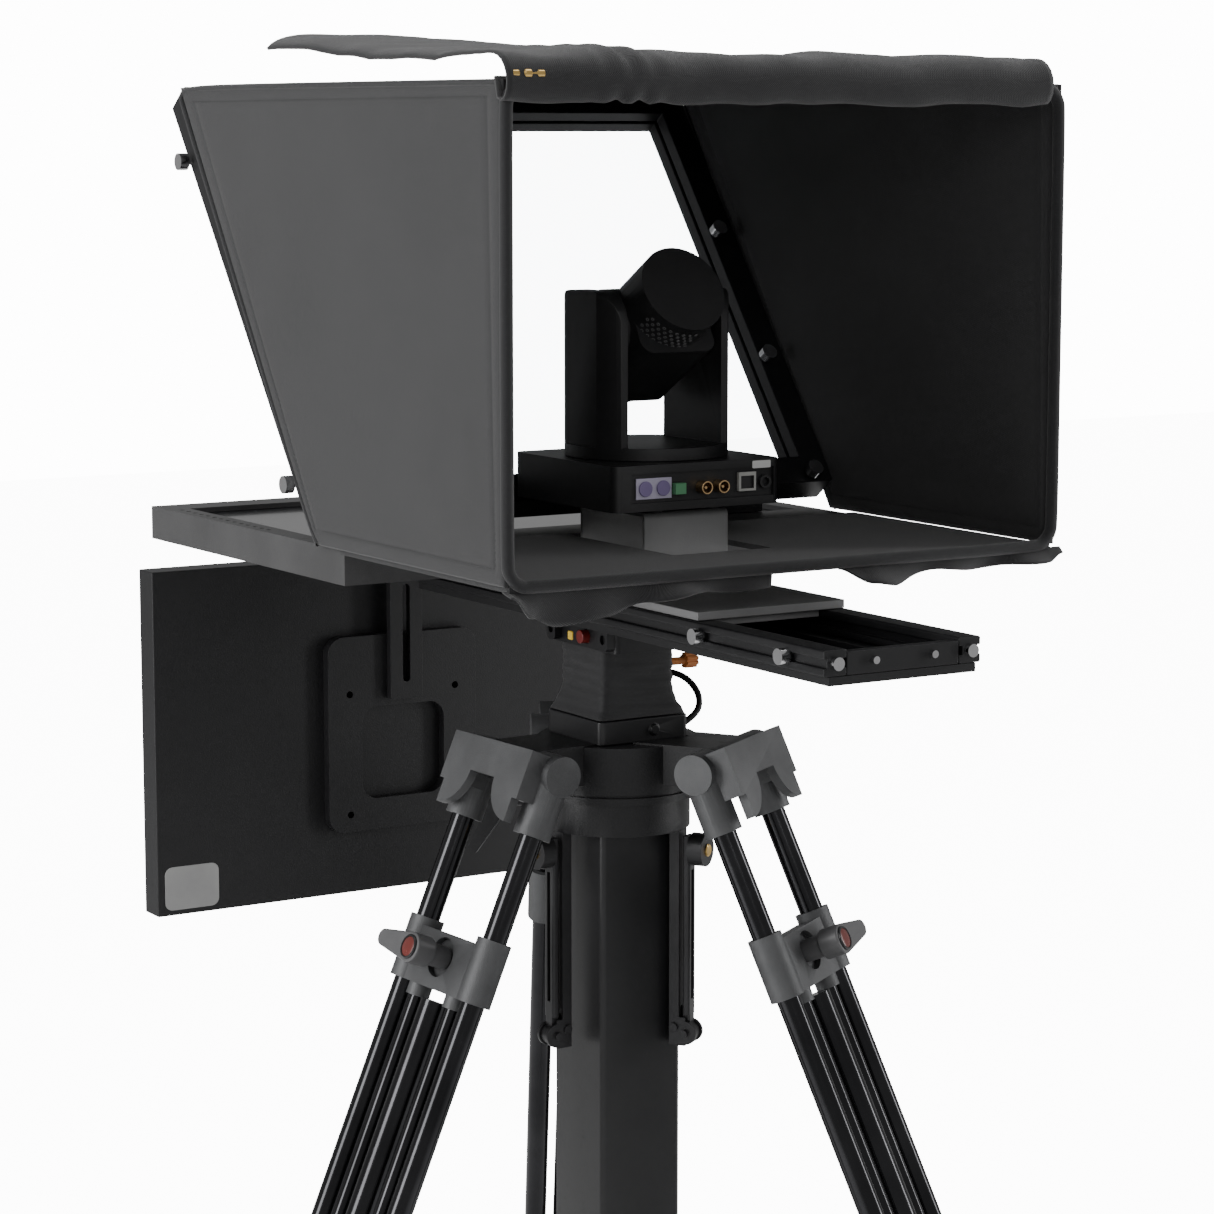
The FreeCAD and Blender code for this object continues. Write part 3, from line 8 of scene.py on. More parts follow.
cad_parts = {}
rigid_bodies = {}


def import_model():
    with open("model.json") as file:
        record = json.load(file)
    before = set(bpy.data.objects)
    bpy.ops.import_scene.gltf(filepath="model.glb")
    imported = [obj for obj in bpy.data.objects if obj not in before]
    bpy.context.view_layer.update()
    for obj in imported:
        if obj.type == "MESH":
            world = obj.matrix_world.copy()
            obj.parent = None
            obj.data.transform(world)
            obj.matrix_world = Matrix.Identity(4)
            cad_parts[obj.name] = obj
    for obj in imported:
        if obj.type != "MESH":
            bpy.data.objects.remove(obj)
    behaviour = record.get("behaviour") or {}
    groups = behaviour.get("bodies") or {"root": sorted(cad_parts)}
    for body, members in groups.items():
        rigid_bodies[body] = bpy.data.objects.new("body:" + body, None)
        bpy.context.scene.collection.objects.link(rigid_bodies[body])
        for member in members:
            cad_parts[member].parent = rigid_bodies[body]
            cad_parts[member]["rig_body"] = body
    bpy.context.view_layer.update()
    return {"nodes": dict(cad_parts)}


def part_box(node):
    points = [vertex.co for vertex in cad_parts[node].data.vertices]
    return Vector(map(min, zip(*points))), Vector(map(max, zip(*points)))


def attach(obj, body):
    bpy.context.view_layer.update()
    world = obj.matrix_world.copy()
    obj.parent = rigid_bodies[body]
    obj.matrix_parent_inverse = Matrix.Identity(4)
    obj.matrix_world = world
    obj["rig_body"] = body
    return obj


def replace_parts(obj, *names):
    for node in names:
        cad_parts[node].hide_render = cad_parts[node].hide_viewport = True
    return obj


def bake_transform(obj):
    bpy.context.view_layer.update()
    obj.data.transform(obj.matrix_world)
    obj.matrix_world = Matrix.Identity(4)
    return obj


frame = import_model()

nodes = frame["nodes"]

# ---------------------------------------------------------------- studio and camera
# The rig is seen from behind and to the left, a little above the hood's middle, with a long lens.
# A large soft box stands on the left, a strip on the right, and a wide bank overhead.

eye = bpy.data.objects.new("eye", bpy.data.cameras.new("eye"))
eye.location = (-1.3119, -2.1144, 1.2152)
eye.rotation_euler = (math.radians(81.94), 0.0, math.radians(-31.64))
eye.data.lens = 99.39
eye.data.sensor_width = 36.0
bpy.context.scene.collection.objects.link(eye)
bpy.context.scene.camera = eye


def area_light(name, place, target, size, power):
    lamp = bpy.data.objects.new(name, bpy.data.lights.new(name, "AREA"))
    lamp.data.shape = "RECTANGLE"
    lamp.data.size, lamp.data.size_y = size
    lamp.data.energy = power
    lamp.location = place
    aim = Vector(target) - Vector(place)
    lamp.rotation_euler = aim.to_track_quat("-Z", "Y").to_euler()
    bpy.context.scene.collection.objects.link(lamp)


area_light("left_soft_box", (-2.9, 0.3, 1.6), (0, 0, 0.9), (1.2, 2.4), 78)
area_light("right_strip", (2.6, -1.2, 1.3), (0, 0, 0.7), (0.4, 2.2), 34)
area_light("rear_fill", (-1.2, -3.2, 2.2), (0, 0, 0.9), (1.2, 1.0), 14)
area_light("overhead_bank", (0.2, 0.2, 3.4), (0, 0, 1.0), (2.2, 2.2), 36)

ROOM_LIGHT = 0.34           # of the white room on the object
WALL_SEEN = 14.0            # the same walls as the camera sees them
world = bpy.data.worlds.new("pale_room")
world.use_nodes = True
room = world.node_tree
room.nodes["Background"].inputs["Color"].default_value = (1.0, 1.0, 1.0, 1)
seen = room.nodes.new("ShaderNodeLightPath")
wall_glow = room.nodes.new("ShaderNodeMapRange")
wall_glow.inputs["To Min"].default_value = ROOM_LIGHT
wall_glow.inputs["To Max"].default_value = WALL_SEEN
room.links.new(seen.outputs["Is Camera Ray"], wall_glow.inputs["Value"])
room.links.new(wall_glow.outputs["Result"], room.nodes["Background"].inputs["Strength"])
bpy.context.scene.world = world

FLOOR_HALF = 9.0
FLOOR_SEEN = 12.0           # glow of the pale floor as the camera sees it
floor_mesh = bpy.data.meshes.new("floor")
corners = [(-FLOOR_HALF, -FLOOR_HALF, 0), (FLOOR_HALF, -FLOOR_HALF, 0),
           (FLOOR_HALF, FLOOR_HALF, 0), (-FLOOR_HALF, FLOOR_HALF, 0)]
floor_mesh.from_pydata(corners, [], [(0, 1, 2, 3)])
floor = bpy.data.objects.new("floor", floor_mesh)
floor_paint = bpy.data.materials.new("pale_floor")
floor_paint.use_nodes = True
floor_tree = floor_paint.node_tree
floor_shader = floor_tree.nodes["Principled BSDF"]
floor_shader.inputs["Base Color"].default_value = (0.9, 0.9, 0.9, 1)
floor_shader.inputs["Roughness"].default_value = 0.7
floor_shader.inputs["Emission Color"].default_value = (1, 1, 1, 1)
floor_seen = floor_tree.nodes.new("ShaderNodeLightPath")
floor_glow = floor_tree.nodes.new("ShaderNodeMath")
floor_glow.operation = "MULTIPLY"
floor_glow.inputs[1].default_value = FLOOR_SEEN
floor_tree.links.new(floor_seen.outputs["Is Camera Ray"], floor_glow.inputs[0])
floor_tree.links.new(floor_glow.outputs[0], floor_shader.inputs["Emission Strength"])
floor_mesh.materials.append(floor_paint)
bpy.context.scene.collection.objects.link(floor)

# ---------------------------------------------------------------- column lead
# A short thin lead that leaves the column's flange beside the sleeve, stands out in a loop and
# goes back in.  It is a round rubber-sheathed cable, limp and small, held at both ends.


def node_group(name, inputs, outputs):
    """An empty shader group with its named sockets; returns the group and its two end nodes."""
    group = bpy.data.node_groups.new(name, "ShaderNodeTree")
    for label, value in inputs:
        socket = group.interface.new_socket(label, in_out="INPUT", socket_type="NodeSocketFloat")
        socket.default_value = value
    for label in outputs:
        group.interface.new_socket(label, in_out="OUTPUT", socket_type="NodeSocketFloat")
    return group, group.nodes.new("NodeGroupInput"), group.nodes.new("NodeGroupOutput")


def add(tree, kind, links=(), **settings):
    """A node with its properties and input values set; links are (input, source socket) pairs."""
    made = tree.nodes.new(kind)
    for key, value in settings.items():
        if hasattr(made, key):
            setattr(made, key, value)
        else:
            made.inputs[key.replace("_", " ")].default_value = value
    for name, source in links:
        tree.links.new(source, made.inputs[name])
    return made


def math_node(tree, operation, first, second):
    made = tree.nodes.new("ShaderNodeMath")
    made.operation = operation
    for slot, value in enumerate((first, second)):
        if isinstance(value, (int, float)):
            made.inputs[slot].default_value = value
        else:
            tree.links.new(value, made.inputs[slot])
    return made.outputs[0]


def make_grain_group():
    """Fine surface grain with a slow mottle, for paint, castings, rubber and moulded plastic."""
    group, start, end = node_group("fine_grain", [("Scale", 900.0), ("Mottle Scale", 14.0)],
                                   ["Height", "Mottle", "Rub"])
    place = add(group, "ShaderNodeTexCoord")
    fine = add(group, "ShaderNodeTexNoise", [("Vector", place.outputs["Object"]),
                                             ("Scale", start.outputs["Scale"])], Detail=3.0)
    slow = add(group, "ShaderNodeTexNoise", [("Vector", place.outputs["Object"]),
                                             ("Scale", start.outputs["Mottle Scale"])],
               Detail=5.0, Roughness=0.6)
    rub_scale = math_node(group, "MULTIPLY", start.outputs["Mottle Scale"], 6.0)
    scuff = add(group, "ShaderNodeTexNoise", [("Vector", place.outputs["Object"]),
                                              ("Scale", rub_scale)], Detail=8.0, Roughness=0.75)
    rub = add(group, "ShaderNodeMapRange", [("Value", scuff.outputs["Fac"])])
    rub.inputs["From Min"].default_value = 0.58
    rub.inputs["From Max"].default_value = 0.78
    group.links.new(fine.outputs["Fac"], end.inputs["Height"])
    group.links.new(slow.outputs["Fac"], end.inputs["Mottle"])
    group.links.new(rub.outputs["Result"], end.inputs["Rub"])
    return group


grain_group = make_grain_group()


def surface(name, dark, light, rough, metallic=0.0, grain=900.0, bump=0.05, mottle=14.0, **sockets):
    """A Principled material coloured and roughened by the grain group."""
    made = bpy.data.materials.new(name)
    made.use_nodes = True
    tree = made.node_tree
    shader = tree.nodes["Principled BSDF"]
    shader.inputs["Metallic"].default_value = metallic
    for key, value in sockets.items():
        shader.inputs[key.replace("_", " ")].default_value = value
    grains = add(tree, "ShaderNodeGroup", node_tree=grain_group)
    grains.inputs["Scale"].default_value = grain
    grains.inputs["Mottle Scale"].default_value = mottle
    tint = add(tree, "ShaderNodeMapRange", [("Value", grains.outputs["Mottle"])])
    tint.inputs["From Min"].default_value = 0.3
    tint.inputs["From Max"].default_value = 0.7
    paint = add(tree, "ShaderNodeMix", [("Factor", tint.outputs["Result"])], data_type="RGBA")
    paint.inputs[6].default_value = (*dark, 1)
    paint.inputs[7].default_value = (*light, 1)
    tree.links.new(paint.outputs[2], shader.inputs["Base Color"])
    wear = add(tree, "ShaderNodeMapRange", [("Value", grains.outputs["Rub"])])
    wear.inputs["To Min"].default_value = rough
    wear.inputs["To Max"].default_value = min(1.0, rough + 0.16)
    tree.links.new(wear.outputs["Result"], shader.inputs["Roughness"])
    relief = add(tree, "ShaderNodeBump", [("Height", grains.outputs["Height"])],
                 Strength=bump, Distance=0.0005)
    tree.links.new(relief.outputs["Normal"], shader.inputs["Normal"])
    return made


def dress(material, *pieces):
    """Puts one material on each piece, a new object or the name of a CAD node."""
    for piece in pieces:
        owner = nodes[piece] if isinstance(piece, str) else piece
        if owner.material_slots:
            for place in owner.material_slots:
                place.material = material
        else:
            owner.data.materials.append(material)


def curve_object(name, points, radius, cyclic=False, resolution=6):
    """A round tube along a smooth second-order line through the pull of its points."""
    curve = bpy.data.curves.new(name, "CURVE")
    curve.dimensions = "3D"
    curve.bevel_depth = radius
    curve.bevel_resolution = 4
    curve.resolution_u = resolution
    line = curve.splines.new("NURBS")
    line.points.add(len(points) - 1)
    for spot, place in zip(line.points, points):
        spot.co = (*place, 1.0)
    line.order_u = 3
    line.use_endpoint_u = not cyclic
    line.use_cyclic_u = cyclic
    made = bpy.data.objects.new(name, curve)
    bpy.context.scene.collection.objects.link(made)
    return made


LEAD_DIAMETER = 0.005
LEAD_ROUTE = [(0.036, -0.024, 0.771), (0.054, -0.027, 0.779), (0.062, -0.020, 0.793),
              (0.058, -0.006, 0.806), (0.047, 0.008, 0.810), (0.044, 0.022, 0.800),
              (0.045, 0.031, 0.786), (0.035, 0.034, 0.772)]
lead = curve_object("column_lead", LEAD_ROUTE, LEAD_DIAMETER / 2, resolution=16)
rubber = surface("black_rubber", (0.012, 0.012, 0.012), (0.022, 0.022, 0.022), 0.55, bump=0.12)
dress(rubber, lead)
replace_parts(lead, "column_cable")
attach(lead, "stand")

# ---------------------------------------------------------------- castings, tubes and plates
# The hard parts keep their CAD shapes.  Each is a cast, drawn or folded piece whose edges were
# broken in the making, so a copy with rounded edges takes its place.


def softened(node, width, segments=2):
    """A copy of a CAD node with its hard edges rounded, standing in for the node."""
    mesh = nodes[node].data.copy()
    mesh.name = node + "_finished"
    work = bmesh.new()
    work.from_mesh(mesh)
    bmesh.ops.remove_doubles(work, verts=work.verts, dist=0.00002)
    bmesh.ops.dissolve_limit(work, angle_limit=math.radians(1.0), verts=work.verts,
                             edges=work.edges)
    work.to_mesh(mesh)
    work.free()
    made = bpy.data.objects.new(node + "_finished", mesh)
    bpy.context.scene.collection.objects.link(made)
    mesh.shade_smooth()
    mesh.set_sharp_from_angle(angle=math.radians(32))
    bevel = made.modifiers.new("broken_edges", "BEVEL")
    bevel.width = width
    bevel.segments = segments
    bevel.limit_method = "ANGLE"
    bevel.angle_limit = math.radians(32)
    bevel.use_clamp_overlap = True
    bevel.harden_normals = True
    body = nodes[node]["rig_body"]
    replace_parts(made, node)
    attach(made, body)
    return made


black_coat = surface("black_powder_coat", (0.006, 0.006, 0.007), (0.010, 0.010, 0.011), 0.45,
                     bump=0.25)
anodised = surface("black_anodised", (0.006, 0.006, 0.007), (0.013, 0.013, 0.014), 0.42,
                   metallic=0.25, bump=0.08)
column_paint = surface("satin_column_paint", (0.009, 0.009, 0.010), (0.015, 0.015, 0.016), 0.38,
                       bump=0.1)
casting = surface("blasted_casting", (0.070, 0.071, 0.073), (0.120, 0.122, 0.125), 0.50,
                  metallic=0.5, grain=1400.0, bump=0.5)
dark_casting = surface("dark_casting", (0.006, 0.006, 0.007), (0.013, 0.013, 0.014), 0.42,
                       metallic=0.2, grain=1200.0, bump=0.35)
polished = surface("polished_tube", (0.030, 0.030, 0.032), (0.050, 0.050, 0.053), 0.16,
                   metallic=0.95, grain=300.0, bump=0.02)
brace_metal = surface("dark_satin_bar", (0.030, 0.030, 0.031), (0.050, 0.050, 0.052), 0.35,
                      metallic=0.6, bump=0.1)
chrome = surface("bright_plate", (0.62, 0.62, 0.63), (0.78, 0.78, 0.79), 0.16,
                 metallic=1.0, bump=0.03)
case_plastic = surface("camera_case", (0.016, 0.016, 0.017), (0.024, 0.024, 0.025), 0.42,
                       grain=1800.0, bump=0.25)
tray_paint = surface("tray_paint", (0.050, 0.050, 0.051), (0.070, 0.070, 0.071), 0.50, bump=0.3)
riser_paint = surface("riser_paint", (0.20, 0.20, 0.202), (0.26, 0.26, 0.262), 0.45, bump=0.2)
lever_plastic = surface("lever_plastic", (0.075, 0.075, 0.077), (0.115, 0.115, 0.118), 0.40,
                        bump=0.2)

for number in (1, 2, 3):
    leg = "leg_%d_" % number
    dress(casting, softened(leg + "yoke", 0.0016), softened(leg + "middle_clamp", 0.0012),
          softened(leg + "middle_stage", 0.0008))
    dress(polished, leg + "upper_tubes", leg + "lower_tube")
    dress(lever_plastic, softened(leg + "clamp_lever", 0.0035, 4))
    dress(rubber, softened(leg + "foot", 0.002))
    dress(brace_metal, softened("brace_arm_%d" % number, 0.0008))
dress(brace_metal, softened("brace_rails", 0.0008))
dress(dark_casting, softened("tripod_hub", 0.0012))
dress(column_paint, softened("column_tube", 0.002, 3), softened("column_flange", 0.0012),
      softened("lift_stage", 0.001))
dress(anodised, softened("rail_bars", 0.0008), softened("rail_base_plate", 0.0008),
      softened("tray_blocks", 0.0008), softened("quick_release_block", 0.001))
dress(riser_paint, softened("camera_riser", 0.0006))
dress(tray_paint, softened("prompter_housing", 0.0012))
dress(black_coat, softened("talent_housing", 0.0012), softened("talent_mount_plate", 0.001),
      softened("talent_arm", 0.001), softened("talent_hanger", 0.001),
      softened("glass_frame", 0.001))
dress(case_plastic, softened("camera_base", 0.003, 3), softened("camera_yoke", 0.002, 3),
      softened("camera_head", 0.0015, 3))
dress(chrome, "rail_screws", "frame_thumbscrews")
dress(surface("red_button", (0.14, 0.010, 0.008), (0.20, 0.016, 0.012), 0.30, bump=0.05),
      softened("quick_release_button", 0.0006))
dress(surface("orange_knob", (0.50, 0.16, 0.04), (0.62, 0.22, 0.06), 0.40, bump=0.1),
      softened("stage_lock_knob", 0.0004))

# ---------------------------------------------------------------- hood panels
# Four stiff boards covered in black coated canvas, sewn along their edges and bound with piping.
# The canvas is pulled over the board, so it thins at the hem and dips along the stitched seam.


def make_weave_group():
    """Plain weave from three crossed sets of diagonal threads, so that it shows on every face."""
    group, start, end = node_group("canvas_weave", [("Thread Scale", 420.0), ("Cloud Scale", 7.0)],
                                   ["Height", "Cloud", "Lint"])
    place = add(group, "ShaderNodeTexCoord")
    threads = []
    for flip in ((1, 1, 1), (1, -1, 1), (1, 1, -1)):
        turned = add(group, "ShaderNodeMapping", [("Vector", place.outputs["Object"])])
        turned.inputs["Scale"].default_value = flip
        wave = add(group, "ShaderNodeTexWave", [("Vector", turned.outputs["Vector"]),
                                                ("Scale", start.outputs["Thread Scale"])],
                   bands_direction="DIAGONAL", Distortion=0.4)
        threads.append(wave.outputs["Fac"])
    crossing = math_node(group, "MULTIPLY", math_node(group, "ADD", threads[0], threads[1]),
                         math_node(group, "ADD", threads[2], 0.4))
    cloud = add(group, "ShaderNodeTexNoise", [("Vector", place.outputs["Object"]),
                                              ("Scale", start.outputs["Cloud Scale"])],
                Detail=6.0, Roughness=0.62)
    lint = add(group, "ShaderNodeTexNoise", [("Vector", place.outputs["Object"])],
               Scale=700.0, Detail=2.0)
    speck = add(group, "ShaderNodeMapRange", [("Value", lint.outputs["Fac"])])
    speck.inputs["From Min"].default_value = 0.62
    speck.inputs["From Max"].default_value = 0.74
    group.links.new(crossing, end.inputs["Height"])
    group.links.new(cloud.outputs["Fac"], end.inputs["Cloud"])
    group.links.new(speck.outputs["Result"], end.inputs["Lint"])
    return group


weave_group = make_weave_group()


def canvas(name, dark, light, threads=420.0, rough=0.82, relief=0.35, sheen=0.25):
    """Coated canvas: thread relief with a painted highlight on the raised thread crowns, slow
    fading and a little pale lint.
    """
    made = bpy.data.materials.new(name)
    made.use_nodes = True
    tree = made.node_tree
    shader = tree.nodes["Principled BSDF"]
    shader.inputs["Sheen Weight"].default_value = sheen
    shader.inputs["Sheen Roughness"].default_value = 0.5
    shader.inputs["Specular IOR Level"].default_value = 0.3
    weave = add(tree, "ShaderNodeGroup", node_tree=weave_group)
    weave.inputs["Thread Scale"].default_value = threads
    fade = add(tree, "ShaderNodeMapRange", [("Value", weave.outputs["Cloud"])])
    fade.inputs["From Min"].default_value = 0.35
    fade.inputs["From Max"].default_value = 0.65
    tone = add(tree, "ShaderNodeMix", [("Factor", fade.outputs["Result"])], data_type="RGBA")
    tone.inputs[6].default_value = (*dark, 1)
    tone.inputs[7].default_value = (*light, 1)
    # Painted highlight: the weave height lightens the thread crowns towards 2.2 times the light
    # tone, so the hollows between threads stay darker as painted shade.
    thread_crown_highlight = math_node(tree, "MULTIPLY", weave.outputs["Height"], 0.22)
    painted_thread_highlight = add(tree, "ShaderNodeMix", [("Factor", thread_crown_highlight)], data_type="RGBA")
    tree.links.new(tone.outputs[2], painted_thread_highlight.inputs[6])
    painted_thread_highlight.inputs[7].default_value = tuple(2.2 * c for c in light) + (1,)
    linted = add(tree, "ShaderNodeMix",
                 [("Factor", math_node(tree, "MULTIPLY", weave.outputs["Lint"], 0.3))],
                 data_type="RGBA")
    tree.links.new(painted_thread_highlight.outputs[2], linted.inputs[6])
    linted.inputs[7].default_value = tuple(3.5 * c for c in light) + (1,)
    tree.links.new(linted.outputs[2], shader.inputs["Base Color"])
    worn = add(tree, "ShaderNodeMapRange", [("Value", weave.outputs["Cloud"])])
    worn.inputs["To Min"].default_value = rough - 0.08
    worn.inputs["To Max"].default_value = min(1.0, rough + 0.1)
    tree.links.new(worn.outputs["Result"], shader.inputs["Roughness"])
    bump = add(tree, "ShaderNodeBump", [("Height", weave.outputs["Height"])],
               Strength=relief, Distance=0.0006)
    tree.links.new(bump.outputs["Normal"], shader.inputs["Normal"])
    return made


hood_canvas = canvas("hood_canvas", (0.017, 0.017, 0.018), (0.025, 0.025, 0.026))
piping_cloth = canvas("piping_cloth", (0.010, 0.010, 0.011), (0.017, 0.017, 0.018), threads=600.0)

PANEL_T = 0.004
SEAM_IN = 0.011             # stitched seam inside the hem
HEM_STEPS = (0.0, 0.0012, 0.003, 0.006, 0.009, 0.0105, 0.0115, 0.013, 0.017)
CLOTH_STEP = 0.012
BOARD_WAVE = 0.0008         # how far the canvas stands off the board here and there


def hem_steps(length):
    """Distances along one side: fine in both hems, even between them."""
    inner = length - 2 * HEM_STEPS[-1]
    count = max(2, round(inner / CLOTH_STEP))
    middle = [HEM_STEPS[-1] + inner * i / count for i in range(1, count)]
    return list(HEM_STEPS) + middle + [length - s for s in reversed(HEM_STEPS)]


def cloth_thickness(inset):
    """Half thickness at a distance from the nearest edge: rolled hem, then a dip at the seam."""
    rolled = math.sqrt(min(1.0, inset / 0.004))
    dip = 0.35 * math.exp(-((inset - SEAM_IN) / 0.0009) ** 2)
    return PANEL_T / 2 * (0.35 + 0.65 * rolled - dip)


def cloth_panel(name, corners, seed):
    """A covered board between four corners, given in order round its middle plane."""
    a, b, c, d = (Vector(p) for p in corners)
    across, up = hem_steps((b - a).length), hem_steps((d - a).length)
    normal = (b - a).cross(d - a).normalized()
    work = bmesh.new()
    faces = {1: [], -1: []}
    for side in (1, -1):
        for v in up:
            share_v = v / up[-1]
            row = []
            for u in across:
                share_u = u / across[-1]
                spot = a.lerp(b, share_u).lerp(d.lerp(c, share_u), share_v)
                inset = min(u, across[-1] - u, v, up[-1] - v)
                wave = noise.noise(spot * 9.0 + Vector((seed, 0, 0))) * BOARD_WAVE
                wave *= min(1.0, inset / 0.03)
                lift = side * (cloth_thickness(inset) + 0.0004) + wave
                row.append(work.verts.new(spot + normal * lift))
            faces[side].append(row)
    last_u, last_v = len(across) - 1, len(up) - 1
    for side, rows in faces.items():
        for j in range(last_v):
            for i in range(last_u):
                quad = (rows[j][i], rows[j][i + 1], rows[j + 1][i + 1], rows[j + 1][i])
                work.faces.new(quad if side == 1 else quad[::-1])
    front, back = faces[1], faces[-1]
    rim = ([(0, i) for i in range(last_u)] + [(j, last_u) for j in range(last_v)]
           + [(last_v, i) for i in range(last_u, 0, -1)] + [(j, 0) for j in range(last_v, 0, -1)])
    for k, (j, i) in enumerate(rim):
        n, m = rim[(k + 1) % len(rim)]
        work.faces.new((front[n][m], front[j][i], back[j][i], back[n][m]))
    mesh = bpy.data.meshes.new(name)
    work.to_mesh(mesh)
    work.free()
    mesh.shade_smooth()
    made = bpy.data.objects.new(name, mesh)
    bpy.context.scene.collection.objects.link(made)
    dress(hood_canvas, made)
    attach(made, "prompter")
    return made


left_low, left_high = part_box("hood_left_panel")
right_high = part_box("hood_right_panel")[1]
roof_low, roof_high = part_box("hood_top_panel")
rear_y, front_y = left_low.y, left_high.y
sill_z, roof_z = left_low.z, left_high.z
FLOOR_DEPTH = 0.276
foot_y = rear_y + FLOOR_DEPTH


def side_corners(x):
    return [(x, rear_y, sill_z), (x, foot_y, sill_z), (x, front_y, roof_z), (x, rear_y, roof_z)]


left_x = left_low.x + PANEL_T / 2
right_x = right_high.x - PANEL_T / 2
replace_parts(cloth_panel("left_hood_panel", side_corners(left_x), 3.0), "hood_left_panel")
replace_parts(cloth_panel("right_hood_panel", side_corners(right_x), 17.0), "hood_right_panel")
roof_mid = roof_high.z - PANEL_T / 2
roof_corners = [(roof_low.x, rear_y, roof_mid), (roof_high.x, rear_y, roof_mid),
                (roof_high.x, roof_high.y, roof_mid), (roof_low.x, roof_high.y, roof_mid)]
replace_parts(cloth_panel("roof_hood_panel", roof_corners, 29.0), "hood_top_panel")


def stitches(name, corners, side, pitch=0.0042, length=0.0026):
    """Short thread bars along the seam of a panel, on one face of it."""
    a, b, c, d = (Vector(p) for p in corners)
    middle = (a + b + c + d) / 4
    normal = (b - a).cross(d - a).normalized() * side
    rows, faces = [], []
    for start, end in ((a, b), (b, c), (c, d), (d, a)):
        run = end - start
        along = run.normalized()
        inward = normal.cross(along)
        if inward.dot(middle - start) < 0:
            inward = -inward
        count = int((run.length - 2 * SEAM_IN) / pitch)
        for i in range(count):
            spot = start + along * (SEAM_IN + pitch * (i + 0.5)) + inward * SEAM_IN
            spot += normal * (PANEL_T / 2 + 0.0001)
            base = len(rows)
            for k, w in ((-1, -1), (1, -1), (1, 1), (-1, 1)):
                rows.append(spot + along * k * length / 2 + inward * w * 0.0004)
            rows.append(spot + normal * 0.0005)
            faces += [(base + k, base + (k + 1) % 4, base + 4) for k in range(4)]
    mesh = bpy.data.meshes.new(name)
    mesh.from_pydata(rows, [], faces)
    made = bpy.data.objects.new(name, mesh)
    bpy.context.scene.collection.objects.link(made)
    dress(thread, made)
    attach(made, "prompter")


thread = surface("black_thread", (0.03, 0.03, 0.031), (0.05, 0.05, 0.051), 0.6, bump=0.1)
stitches("left_outer_stitches", side_corners(left_x), -1)
stitches("right_inner_stitches", side_corners(right_x), -1)

PIPING_R = 0.0024
for label, x in (("left", left_low.x + 0.001), ("right", right_high.x - 0.001)):
    rear_inset = 0.004
    edge = [(x, rear_y + rear_inset, roof_z - 0.002), (x, front_y * 0.5, roof_z - 0.0005),
            (x, front_y - 0.012, roof_z - 0.001), (x, front_y - 0.001, roof_z - 0.006),
            (x, front_y - 0.008, roof_z - 0.018),
            (x, (foot_y + front_y) / 2, (sill_z + roof_z) / 2),
            (x, foot_y + 0.004, sill_z + 0.008), (x, foot_y - 0.006, sill_z + 0.001)]
    piping = curve_object(label + "_piping", edge, PIPING_R)
    dress(piping_cloth, piping)
    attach(piping, "prompter")
dress(hood_canvas, "hood_floor_panel")

# ---------------------------------------------------------------- rear hoop and skirts
# A sprung hoop in a canvas sleeve holds the rear mouth open.  Two loose skirts are sewn under its
# sill and hang in soft scallops on each side of the rail.

HOOP_R = 0.0045
HOOP_CORNER = 0.016
hoop_y = rear_y


def hoop_line():
    """Points round the rear mouth with rounded corners."""
    left, right = left_low.x + HOOP_R * 0.6, right_high.x - HOOP_R * 0.6
    low, high = sill_z - 0.001, roof_z - 0.002
    points = []
    for cx, cz, first in ((right, high, 0), (left, high, 90), (left, low, 180), (right, low, 270)):
        sx = 1 if cx == right else -1
        sz = 1 if cz == high else -1
        for step in range(5):
            turn = math.radians(first + 22.5 * step)
            points.append((cx - sx * HOOP_CORNER + HOOP_CORNER * math.cos(turn), hoop_y,
                           cz - sz * HOOP_CORNER + HOOP_CORNER * math.sin(turn)))
        next_x, next_z = {0: (left, high), 90: (left, low), 180: (right, low),
                          270: (right, high)}[first]
        for share in (0.33, 0.66):
            points.append((cx + (next_x - cx) * share, hoop_y, cz + (next_z - cz) * share))
    return points


hoop = curve_object("rear_hoop", hoop_line(), HOOP_R, cyclic=True)
dress(piping_cloth, hoop)
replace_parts(hoop, "hood_rear_trim")
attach(hoop, "prompter")


def blended(stops, x):
    """Smooth value of a list of (place, value) stops at x."""
    for (x0, v0), (x1, v1) in zip(stops, stops[1:]):
        if x <= x1:
            share = max(0.0, (x - x0) / (x1 - x0))
            share = share * share * (3 - 2 * share)
            return v0 + (v1 - v0) * share
    return stops[-1][1]


def skirt(name, drops, seed):
    """A thin strip of cloth that hangs from the sill, as deep as drops says along its length."""
    start_x, end_x = drops[0][0], drops[-1][0]
    steps, rows = 90, 7
    work = bmesh.new()
    grid = []
    for i in range(steps + 1):
        x = start_x + (end_x - start_x) * i / steps
        drop = blended(drops, x)
        column = []
        for j in range(rows + 1):
            share = j / rows
            fold = math.sin(x * 95 + seed) * 0.005 + math.sin(x * 41 + 2 * seed) * 0.007
            y = hoop_y + 0.004 + fold * share ** 1.2 - 0.004 * share
            z = sill_z - HOOP_R * 0.7 - drop * share
            column.append(work.verts.new((x, y, z)))
        grid.append(column)
    for i in range(steps):
        for j in range(rows):
            work.faces.new((grid[i][j], grid[i][j + 1], grid[i + 1][j + 1], grid[i + 1][j]))
    area = sum(face.calc_area() for face in work.faces)
    mesh = bpy.data.meshes.new(name)
    work.to_mesh(mesh)
    work.free()
    mesh.shade_smooth()
    made = bpy.data.objects.new(name, mesh)
    bpy.context.scene.collection.objects.link(made)
    thick = made.modifiers.new("cloth", "SOLIDIFY")
    thick.thickness = 0.0012
    thick.offset = 0
    dress(hood_canvas, made)
    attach(made, "prompter")


